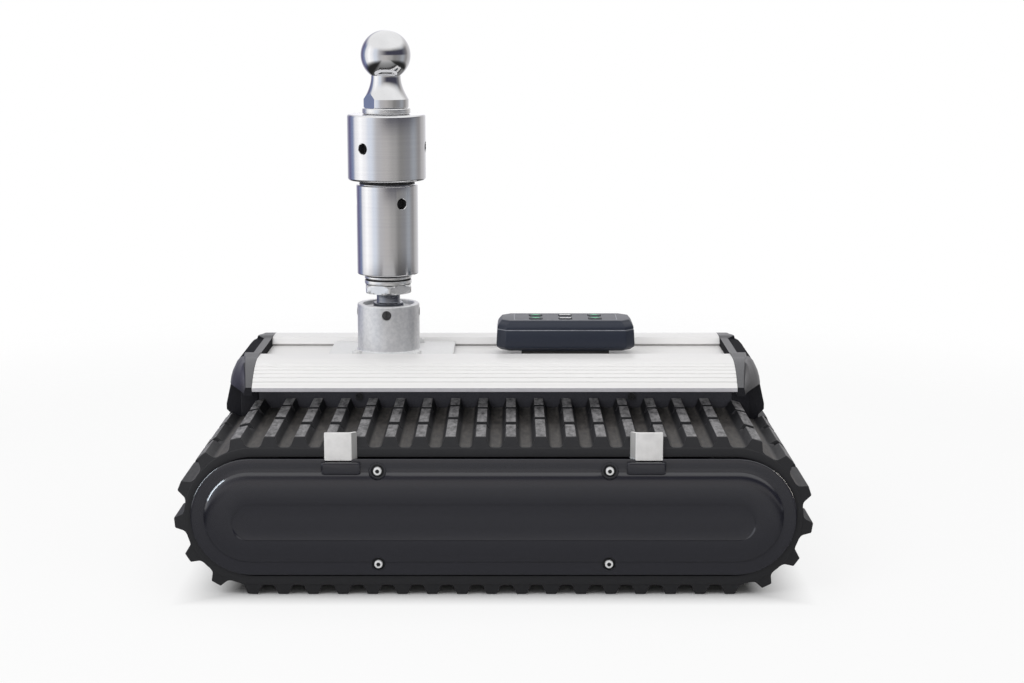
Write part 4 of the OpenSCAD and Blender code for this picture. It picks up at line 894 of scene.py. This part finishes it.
def makeSocket():
    s = socketSizes
    low, high = boxOf("hitch_socket")
    discLow, discHigh = boxOf("retaining_disc")
    top, floor, setZ = high.z, low.z + s.plateHigh, (discLow.z + discHigh.z) / 2
    r, footR, setR = s.r, s.r + s.fillet + 0.3, s.setR
    tube = lathe("socketTube", roundedLine([
        (s.bore, floor - 2.0), (s.bore, top, 1.4), (r, top, 1.8), (r, floor - 0.1, s.fillet),
        (footR, floor - 0.1, 0.1), (footR, floor - 2.0)]), centre, True, 160)
    quarters = [math.pi / 2 * k for k in range(4)]
    cutters = []
    for angle in quarters:
        bore = lathe("setBore", [(setR + 0.3, 20.0), (setR + 0.3, r - 0.4), (setR + 0.8, r + 0.4),
                                 (setR + 0.8, r + 10)], steps=48)
        cutters.append(moved(bore, (postX, 0, setZ), ("Z", angle), ("Y", math.pi / 2)))
    cutWith(tube, cutters)
    middle = postX + s.plateShift
    plate = softBox("socketPlate", (middle - s.plateHalfX, -s.plateHalfY, low.z),
                    (middle + s.plateHalfX, s.plateHalfY, floor), s.plateEdge)
    whole = smoothPiece(joined("hitchSocket", [tube, plate]))
    settle(whole, "cast_aluminium", "frame", "hitch_socket")
    paintPost(whole, platePale, lambda reach, z: z > floor - 2
              and (reach > r + 2.5 or (reach < 10 and z < floor + 0.1)))

    disc = lathe("retainingDisc", roundedLine([
        (s.discR, discLow.z), (s.discR, discHigh.z, 1.2), (s.bore, discHigh.z, 0.4),
        (s.bore, discLow.z)], steps=5), centre, True)
    settle(disc, "cast_aluminium", "frame", "retaining_disc")

    unit = socketHead("baseHead", s.headR, s.headHigh, s.hexR, s.hexDeep, s.shankR, s.shank)
    places = [((postX + sx * s.screwX, sy * s.screwY, floor), (0, 0, 0))
              for sx in (-1, 1) for sy in (-1, 1)]
    heads = repeatUnit("baseScrewHeads", unit, places, platePale)
    settle(heads, "bright_steel", "frame", "socket_screws", paint=platePale)

    unit = lathe("setScrew", roundedLine([
        (setR - 1.6, -s.setLong), (setR, -s.setLong, 0.2), (setR, 0.2, 0.7), (0.4, 0.2)],
        False, 4), steps=48)
    cutWith(unit, [softBox("slotCut", (-10, -s.setSlot, -1.8), (10, s.setSlot, 5), 0.1)])
    places = [((postX + r * math.cos(angle), r * math.sin(angle), setZ), (0, math.pi / 2, angle))
              for angle in quarters]
    screws = repeatUnit("setScrews", unit, places, finish["black_screws"])
    settle(screws, "black_screws", "frame", "socket_set_screws")
    print("hitch socket done")


makeSocket()


# jacking post

postSizes = Sizes(
    barrelR=31.5, neckR=28.5, neckHigh=92.0, collarR=40.0, collarTop=9.0, spindleR=12.0,
    spindleBall=20.0, raceR=24.2, raceStep=1.5, nutFlats=46.0, nutTurn=-84.0, holeR=5.3,
    holeDeep=9.0, holeDrop=18.0, collarHole=-124.0, barrelHole=-58.0, threadPitch=5.0,
    threadDeep=1.6, threadWall=6.0)
ballSizes = Sizes(
    r=25.4, shankR=10.9, baseR=23.0, baseHigh=9.0, neckR=15.0, flare=7.6, bow=1.8, flats=39.5,
    flatsTurn=-58.0, washerR=24.5, washerBore=11.5)


def barCutters(r, z, first):
    p = postSizes
    holeR, deep = p.holeR, r - p.holeDeep
    cutters = []
    for k in range(3):
        bore = lathe("barBore", [
            (holeR - 1.4, deep - 1.6), (holeR, deep), (holeR, r - 2.0), (holeR, r - 0.7),
            (holeR + 0.7, r), (holeR + 1.2, r + 6)], steps=56)
        cutters.append(moved(bore, (postX, 0, z), ("Z", math.radians(first + 120 * k)),
                             ("Y", math.pi / 2)))
    return cutters


def threadSleeve(name, r, low, high):
    # a screw thread as rings whose radius follows the helix, run out plain at both ends
    p = postSizes
    steps, slices = 120, int((high - low) / 0.5)
    rings = []
    for k in range(slices + 1):
        z = low + (high - low) * k / slices
        ease = max(0.0, min(1.0, (z - low - 1.0) / 3, (high - 1.0 - z) / 3))

        def crestTo(angle):
            place = (z / p.threadPitch - angle / (2 * math.pi)) % 1.0
            return r - ease * p.threadDeep * between(1.6 - 4.0 * abs(place - 0.5), 0.0, 1.0)

        rings.append(ringOf(crestTo, z, steps, centre))
    rings += [ringOf(r - p.threadWall, z, steps, centre) for z in (high, low)]
    return makePiece(name, *loft(rings, True), sharp=30)


def makeSpindle():
    p = postSizes
    low, high = boxOf("spindle")
    socketTop = boxOf("hitch_socket")[1].z
    r, ballR = p.spindleR, p.spindleBall
    ballZ = low.z + ballR
    line = [(0.4, low.z)]
    for k in range(1, 20):
        angle = -math.pi / 2 + math.pi * k / 24
        line.append((ballR * math.cos(angle), ballZ + ballR * math.sin(angle)))
    line += [(16.0, ballZ + 13.0), (15.6, socketTop - 3.0), (15.4, socketTop + 0.2),
             (14.9, socketTop + 0.7), (r + 0.6, socketTop + 0.9), (r, socketTop + 1.8),
             (r, high.z - 1), (r - 1, high.z), (0.4, high.z)]
    spindle = lathe("spindleShaft", line, centre, steps=96)
    settle(spindle, "dark_steel", "post_spindle", "spindle")

    low, high = boxOf("shoulder_nut")
    flat, turn, steps = p.nutFlats / 2, math.radians(p.nutTurn), 96
    rings = []
    for z, limit in ((low.z, flat + 0.4), (low.z + 1.2, flat * 1.08), (low.z + 1.9, math.inf),
                     (high.z - 1.9, math.inf), (high.z - 1.2, flat * 1.08), (high.z, flat + 0.4)):
        rings.append(ringOf(lambda angle: min(sixSided(flat, angle - turn), limit), z, steps,
                            centre))
    rings += [ringOf(r, z, steps, centre) for z in (high.z, low.z)]
    nut = makePiece("shoulderNut", *loft(rings, True), sharp=20)
    settle(nut, "bright_steel", "post_spindle", "shoulder_nut")

    raceR, stepR, boreR = p.raceR, p.raceR - p.raceStep, r + 0.1
    for name, node, body, shade in (("lowerRace", "lower_race", "post_spindle", 0.8),
                                    ("upperRace", "upper_race", "post_barrel", 2.2)):
        low, high = boxOf(node)
        neck, heel = high.z - shade, low.z + 0.7
        race = lathe(name, roundedLine([
            (boreR, low.z), (stepR, low.z), (stepR, heel - 0.1), (raceR, heel, 0.5),
            (raceR, neck, 0.5), (stepR, neck + 0.1), (stepR, high.z), (boreR, high.z)], steps=4),
            centre, True)
        settle(race, "bright_steel", body, node)
        # painted shade on the narrow bands at the race's top and foot, for the shadowed gaps
        paintPost(race, recessPaintedShade, lambda reach, z: z > neck + 0.02 or z < heel - 0.02)


def makeBarrel():
    p = postSizes
    low, high = boxOf("jack_barrel")
    neckZ, r, innerR, boreR = low.z + p.neckHigh, p.barrelR, p.neckR - 3, p.spindleR + 0.1
    holeZ = neckZ - p.holeDrop
    barrel = lathe("jackBarrel", roundedLine([
        (boreR, low.z), (r, low.z, 1.2), (r, neckZ, 1.4), (innerR, neckZ, 0.6), (innerR, high.z),
        (boreR, high.z)]), centre, True, 192)
    cutWith(barrel, barCutters(r, holeZ, p.barrelHole))
    thread = threadSleeve("barrelThread", p.neckR, neckZ - 0.5, high.z)
    barrel = smoothPiece(joined("jackBarrel", [barrel, thread]), 30)
    settle(barrel, "turned_aluminium", "post_barrel", "jack_barrel")
    # the thread above the neck is dark, partly as dark steel and partly as painted shade of the
    # gap; painted shade inside the bar holes
    paintPost(barrel, recessPaintedShade, lambda reach, z: z > neckZ + 0.3
              or (reach < r - 2.4 and abs(z - holeZ) < 7))

    low, high = boxOf("turning_collar")
    r, boreR, innerR, ledge = p.collarR, p.neckR + 0.1, p.neckR - 12, high.z - p.collarTop
    collarZ = (low.z + high.z) / 2
    collar = lathe("turningCollar", roundedLine([
        (boreR, low.z, 0.6), (r, low.z, 2.6), (r, high.z, 2.6), (innerR, high.z, 0.5),
        (innerR, ledge), (boreR, ledge)], steps=8), centre, True, 192)
    cutWith(collar, barCutters(r, collarZ, p.collarHole))
    settle(collar, "turned_aluminium", "post_collar", "turning_collar")
    # painted shade inside the bar holes
    paintPost(collar, recessPaintedShade, lambda reach, z: reach < p.collarR - 2.4 and abs(z - collarZ) < 7)


def makeBall():
    b = ballSizes
    low, high = boxOf("ball_washer")
    washer = lathe("ballWasher", roundedLine([
        (b.washerBore, low.z), (b.washerR, low.z, 1.2), (b.washerR, high.z, 1.2),
        (b.washerBore, high.z)], steps=4), centre, True)
    settle(washer, "bright_steel", "post_ball", "ball_washer")

    base, r, baseR = high.z, b.r, b.baseR
    middle = ballHigh.z - r
    line = [(0.4, ballLow.z), (b.shankR, ballLow.z), (b.shankR, base), (baseR - 1.2, base),
            (baseR, base + 1.2), (baseR, base + b.baseHigh)]
    neck = math.asin(b.neckR / r)
    flareLow, flareHigh = base + b.baseHigh + 0.6, middle - r * math.cos(neck) - 1.0
    for k in range(13):
        share = k / 12
        line.append((b.neckR + b.flare * (1 - share) ** b.bow,
                     flareLow + (flareHigh - flareLow) * share))
    for k in range(33):
        angle = neck + (math.pi - neck - 0.02) * k / 32
        line.append((r * math.sin(angle), middle - r * math.cos(angle)))
    ball = lathe("towBall", line, centre, steps=160)
    cutters = []
    for side in (0, math.pi):
        wall = softBox("flatCut", (-40, -60, base - 0.01), (40, -b.flats / 2, flareHigh), 0.05)
        cutters.append(moved(wall, (postX, 0, 0), ("Z", math.radians(b.flatsTurn) + side)))
    cutWith(ball, cutters, 30)
    settle(ball, "ball_chrome", "post_ball", "tow_ball")


makeSpindle()
makeBarrel()
makeBall()
print("jacking post done")


# handset on its foot

handsetSizes = Sizes(
    chamfer=9.0, soft=2.5, low=4.0, draft=1.0, taper=5.0, bulge=0.9, panelHalfX=53.0,
    panelHalfY=19.5, panelR=2.5, border=0.8, footR=4.0, keyX=30.5, keyY=10.0, keyHalfX=6.5,
    keyHalfY=5.0, keyRise=0.8, keyGap=0.5, arrow=(5.6, 3.2, 3.7), bar=(5.7, 1.8), markRise=0.06)


def handsetShell(name, halfX, halfY, middle, rows):
    # rows are (inset from the widest outline, height)
    soft, chamfer = handsetSizes.soft, handsetSizes.chamfer
    rings = []
    for inset, z in rows:
        x, y = halfX - inset, halfY - inset
        cutX, cutY = x - chamfer, -y + chamfer
        corners = [(-cutX, -y, soft), (cutX, -y, soft), (x, cutY, soft), (x, -cutY, soft),
                   (cutX, y, soft), (-cutX, y, soft), (-x, -cutY, soft), (-x, cutY, soft)]
        rings.append([(middle.x + a, middle.y + b, z) for a, b in roundedLine(corners, steps=4)])
    return makePiece(name, *loft(rings), sharp=28)


def makeHandset():
    h = handsetSizes
    low, high = boxOf("handset_base")
    lidLow, lidHigh = boxOf("handset_lid")
    middle = (low + high) / 2
    widest = ((high.x - low.x) / 2, (high.y - low.y) / 2, middle)
    seam, top, draft, taper, toe = lidLow.z, lidHigh.z, h.draft, h.taper, low.z + h.low
    base = handsetShell("handsetBase", *widest, [
        (h.low + 0.9, low.z), (h.low, low.z + 0.3), (0.5, toe - 0.6), (0.1, toe + 0.6),
        (0.0, toe + 2), (draft - 0.2, seam - 1.2), (draft + 0.1, seam - 0.6),
        (draft + 0.6, seam - 0.35), (draft + 2.5, seam - 0.3)])
    settle(base, "handset_plastic", "handset", "handset_base")

    rows = [(draft + 2.5, seam + 0.3), (draft + 0.5, seam + 0.35), (draft + 0.1, seam + 0.7)]
    for k in range(1, 7):
        share = k / 6
        rows.append((draft + (taper - draft) * share - h.bulge * math.sin(math.pi * share),
                     seam + 0.7 + (top - 1.2 - seam - 0.7) * share))
    rows += [(taper + 0.3, top - 0.5), (taper + 1.0, top - 0.1), (taper + 2.0, top)]
    lid = handsetShell("handsetLid", *widest, rows)
    keys = (("left_forward", -1, 1), ("left_back", -1, -1), ("right_forward", 1, 1),
            ("right_back", 1, -1), ("power", 0, 1), ("lamp", 0, -1))

    def keyBlock(name, sx, sy, grow, lowZ, highZ, edge):
        x, y = middle.x + sx * h.keyX, middle.y + sy * h.keyY
        wide, deep = h.keyHalfX + grow, h.keyHalfY + grow
        return softBox(name, (x - wide, y - deep, lowZ), (x + wide, y + deep, highZ), edge)

    cutWith(lid, [keyBlock("keyWell", sx, sy, h.keyGap, top - 3.0, top + 6.0, 1.4)
                  for _, sx, sy in keys], 28)
    settle(lid, "handset_plastic", "handset", "handset_lid")

    seamLine = handsetShell("handsetSeam", *widest, [
        (draft + 3.0, seam - 0.5), (draft + 0.35, seam - 0.45), (draft + 0.25, seam),
        (draft + 0.35, seam + 0.45), (draft + 3.0, seam + 0.5)])
    settle(seamLine, "handset_plastic", "handset", paint=seamPale)

    rings = []
    for inset, z in ((0.0, top - 0.3), (0.0, top + 0.10), (0.25, top + 0.16), (0.55, top + 0.16),
                     (h.border, top + 0.10), (h.border, top - 0.3)):
        x, y = h.panelHalfX - inset, h.panelHalfY - inset
        corners = boxCorners(middle.x - x, middle.y - y, middle.x + x, middle.y + y, h.panelR)
        rings.append([(a, b, z) for a, b in roundedLine(corners, steps=5)])
    border = makePiece("keypadBorder", *loft(rings, True), sharp=30)
    settle(border, "handset_plastic", "handset", paint=seamPale)

    foot = softBox("handsetFoot", *boxOf("handset_foot"), h.footR)
    settle(foot, "foot_rubber", "handset", "handset_foot")

    keyTop = top + h.keyRise
    for name, sx, sy in keys:
        x, y = middle.x + sx * h.keyX, middle.y + sy * h.keyY
        cap = keyBlock("keyCap", sx, sy, 0.0, top - 2.4, keyTop, 1.2)
        if sx:
            wide, back, tip = h.arrow
            mark = [(x - wide, y - sy * back, 0.5), (x + wide, y - sy * back, 0.5),
                    (x, y + sy * tip, 0.7)]
        else:
            wide, deep = h.bar
            mark = boxCorners(x - wide, y - deep, x + wide, y + deep, 0.6)
        outline = roundedLine(mark, steps=4)
        rings = [[(a, b, z) for a, b in outline] for z in (keyTop - 0.3, keyTop + h.markRise)]
        sign = makePiece("keyMark", *loft(rings))
        slotName = "drive_keys" if sx else "plain_keys"
        whole = smoothPiece(joined("key_" + name + "_cap", [cap, sign]), 30)
        settle(whole, slotName, "key_" + name + "_body", "key_" + name, paint=keyBlack)
        verts = whole.data.vertices
        paintFaces(whole, finish[slotName], lambda spot, face: max(
            verts[v].co.z for v in face.vertices) > (keyTop + 0.02) * mm)
    print("handset done:", len(keys), "keys")


makeHandset()


# CAD nodes that stay on show get their slot's finish

shown = 0
for subpart in frame["record"]["subparts"]:
    part = frame["nodes"][subpart["node"]]
    if not part.hide_render:
        dress(part, finish[subpart["material_slot"]])
        shown += 1
print("CAD nodes on show:", shown)


# floor, world, lamps and camera, in metres

studio = Sizes(
    floorR=3.0, floorDrop=0.4, floorFade=(0.75, 1.5), floorColour=0.9, floorGlow=0.84,
    shadeX=(0.24, 0.30), shadeY=(0.222, 0.262), floorMirror=(0.22, 0.55), mirrorAhead=(-0.35, -1.1),
    mirrorAside=(0.34, 0.52), mirrorSide=0.12, world=0.46, panelGlow=1.25, bandLow=(-0.04, 0.06),
    bandHigh=(0.44, 0.26), bandLeft=(0.40, 0.54), bandRight=(0.88, 0.72),
    bandTone=(0.05, 0.05, 0.07), ceiling=(0.30, 0.62), keyPower=15.0, fillPower=4.0, topPower=14.0,
    lowPower=11.0, leftGlint=18.0, rightGlint=16.0, lens=66.797, cameraSpot=(0.017, -1.946, 0.544),
    cameraTilt=80)
# the room's panels from behind the part, by its left, front and right to behind it again
roomPanels = ((0.0, (1.15, 1.14, 1.18)), (0.05, (0.55, 0.55, 0.62)), (0.125, (0.16, 0.15, 0.27)),
              (0.18, (0.24, 0.29, 0.45)), (0.225, (1.00, 1.00, 1.02)), (0.28, (1.25, 1.25, 1.25)),
              (0.315, (1.10, 1.10, 1.12)), (0.37, (0.82, 0.87, 0.96)), (0.44, (0.56, 0.55, 0.56)),
              (0.50, (0.54, 0.52, 0.51)), (0.57, (0.42, 0.41, 0.40)), (0.63, (0.27, 0.265, 0.26)),
              (0.69, (0.28, 0.28, 0.29)), (0.75, (0.38, 0.40, 0.43)), (0.81, (0.32, 0.31, 0.31)),
              (0.87, (0.56, 0.55, 0.55)), (0.94, (0.75, 0.74, 0.76)), (1.0, (1.15, 1.14, 1.18)))
white = (1, 1, 1, 1)


def makeFloor():
    s = studio
    steps = 96
    ring = ringOf(s.floorR * 1000, -s.floorDrop, steps)
    floor = makePiece("paleFloor", ring, [tuple(range(steps))])
    if floor.data.polygons[0].normal.z < 0:
        floor.data.flip_normals()
    material, tree, _ = newMaterial("paleFloor")
    tree.nodes.clear()
    rays = addNode(tree, "ShaderNodeLightPath").outputs
    place, x, y, _ = placeNodes(tree)
    aside, across = mathNode(tree, "ABSOLUTE", x), mathNode(tree, "ABSOLUTE", y)

    def emission(strength):
        lamp = addNode(tree, "ShaderNodeEmission", {"Color": white, "Strength": strength})
        return lamp.outputs[0]

    # the floor shows white round the part and keeps its full shadow under it
    around = mathNode(tree, "MAXIMUM", rangeNode(tree, aside, s.shadeX),
                      rangeNode(tree, across, s.shadeY))
    matt = addNode(tree, "ShaderNodeBsdfDiffuse", {"Color": (s.floorColour,) * 3 + (1,)})
    glow = product(tree, around, s.floorGlow, rays["Is Camera Ray"])
    lit = mixShader(tree, glow, matt.outputs["BSDF"], emission(1.0))
    # what polished pieces see of it: paler ahead of the part, dark to both sides
    mirror = product(tree, rangeNode(tree, y, s.mirrorAhead, s.floorMirror),
                     rangeNode(tree, aside, s.mirrorAside, (1.0, s.mirrorSide), "SMOOTHSTEP"))
    seen = mixShader(tree, rays["Is Glossy Ray"], lit, emission(mirror))
    fade = rangeNode(tree, distanceNode(tree, place), s.floorFade, kind="SMOOTHSTEP")
    clear = addNode(tree, "ShaderNodeBsdfTransparent").outputs["BSDF"]
    addNode(tree, "ShaderNodeOutputMaterial", {"Surface": mixShader(tree, fade, seen, clear)})
    floor.data.materials.append(material)


def makeWorld():
    # white to the camera; metal sees the same pale room with soft darker panels round it
    s = studio
    world = bpy.data.worlds.new("paleRoom")
    scene.world = world
    world.use_nodes = True
    tree = world.node_tree
    tree.nodes.clear()
    rays = addNode(tree, "ShaderNodeLightPath").outputs
    _, x, y, z = placeNodes(tree, "Generated")
    bearing = mathNode(tree, "ARCTAN2", x, mathNode(tree, "MULTIPLY", y, -1.0))
    share = rangeNode(tree, bearing, (-math.pi, math.pi))
    panels = addNode(tree, "ShaderNodeValToRGB", {"Fac": share})
    ramp = panels.color_ramp
    ramp.interpolation = "EASE"
    while len(ramp.elements) < len(roomPanels):
        ramp.elements.new(0.5)
    for element, (position, colour) in zip(ramp.elements, roomPanels):
        element.position = position
        element.color = (*(part / s.panelGlow for part in colour), 1)

    def fades(value, span):
        return rangeNode(tree, value, span, kind="SMOOTHSTEP")

    def background(colour, strength):
        return addNode(tree, "ShaderNodeBackground", {"Color": colour,
                                                      "Strength": strength}).outputs[0]

    band = product(tree, fades(z, s.bandLow), fades(z, s.bandHigh),
                   fades(share, s.bandLeft), fades(share, s.bandRight))
    dim = mixColour(tree, band, panels.outputs["Color"], s.bandTone)
    room = mixColour(tree, fades(z, s.ceiling), dim, (1.0 / s.panelGlow,) * 3)
    mirror = mathNode(tree, "MAXIMUM", rays["Is Glossy Ray"], rays["Is Transmission Ray"])
    lit = mixShader(tree, mirror, background(white, s.world), background(room, s.panelGlow))
    seen = mixShader(tree, rays["Is Camera Ray"], lit, background(white, 1.0))
    addNode(tree, "ShaderNodeOutputWorld", {"Surface": seen})


def areaLamp(name, spot, aim, size, power, colour):
    data = bpy.data.lights.new(name, "AREA")
    data.shape = "RECTANGLE"
    data.size, data.size_y = size
    data.energy = power
    data.color = colour
    lamp = addObject(name, data)
    lamp.location = spot
    lamp.rotation_euler = (Vector(aim) - Vector(spot)).to_track_quat("-Z", "Y").to_euler()
    lamp.visible_glossy = False  # metal sees the room's panels, not the lamps
    return lamp


def linkGroup(name, pieces, state="INCLUDE"):
    # the pieces that a lamp's light linking takes in or leaves out
    group = bpy.data.collections.new(name)
    for piece in pieces:
        group.objects.link(bpy.data.objects[piece])
    for member in group.collection_objects:
        member.light_linking.link_state = state
    return group


def makeLamps():
    s = studio
    key = areaLamp("keyLamp", (-1.3, -1.5, 1.7), (0, 0, 0.15), (1.4, 1.4), s.keyPower,
                   (0.97, 0.985, 1.0))
    key.light_linking.blocker_collection = linkGroup("keyLampBlockers", ["roofExtrusion"],
                                                     "EXCLUDE")
    areaLamp("fillLamp", (1.6, -1.2, 1.1), (0, 0, 0.15), (1.2, 1.2), s.fillPower,
             (1.0, 0.98, 0.95))
    low = areaLamp("lowLamp", (-0.2, -2.2, 0.60), (0, 0, 0.16), (2.2, 0.5), s.lowPower,
                   (0.98, 0.99, 1.0))
    low.light_linking.receiver_collection = linkGroup("lowLampReceivers", ["paleFloor"], "EXCLUDE")
    # glints along the covers' edges
    covers = linkGroup("stripReceivers", ["coverNear", "coverFar"])
    for name, spot, aim, power, colour in (
            ("leftStrip", (-1.6, -0.5, 0.7), (-0.25, -0.24, 0.1), s.leftGlint, (0.80, 0.90, 1.0)),
            ("rightStrip", (1.6, 0.15, 0.62), (0.25, -0.24, 0.1), s.rightGlint,
             (1.0, 0.93, 0.86))):
        strip = areaLamp(name, spot, aim, (0.3, 1.0), power, colour)
        strip.visible_glossy, strip.visible_diffuse = True, False
        strip.light_linking.receiver_collection = covers
    areaLamp("topLamp", (0.0, 0.3, 2.0), (0, 0, 0.1), (2.0, 1.4), s.topPower, (1, 1, 1))


def makeCamera():
    data = bpy.data.cameras.new("photoCamera")
    data.sensor_width = 36.0
    data.lens = studio.lens
    camera = addObject("photoCamera", data)
    camera.location = studio.cameraSpot
    camera.rotation_euler = (math.radians(studio.cameraTilt), 0, 0)
    scene.camera = camera


makeFloor()
makeWorld()
makeLamps()
makeCamera()
print("studio done")
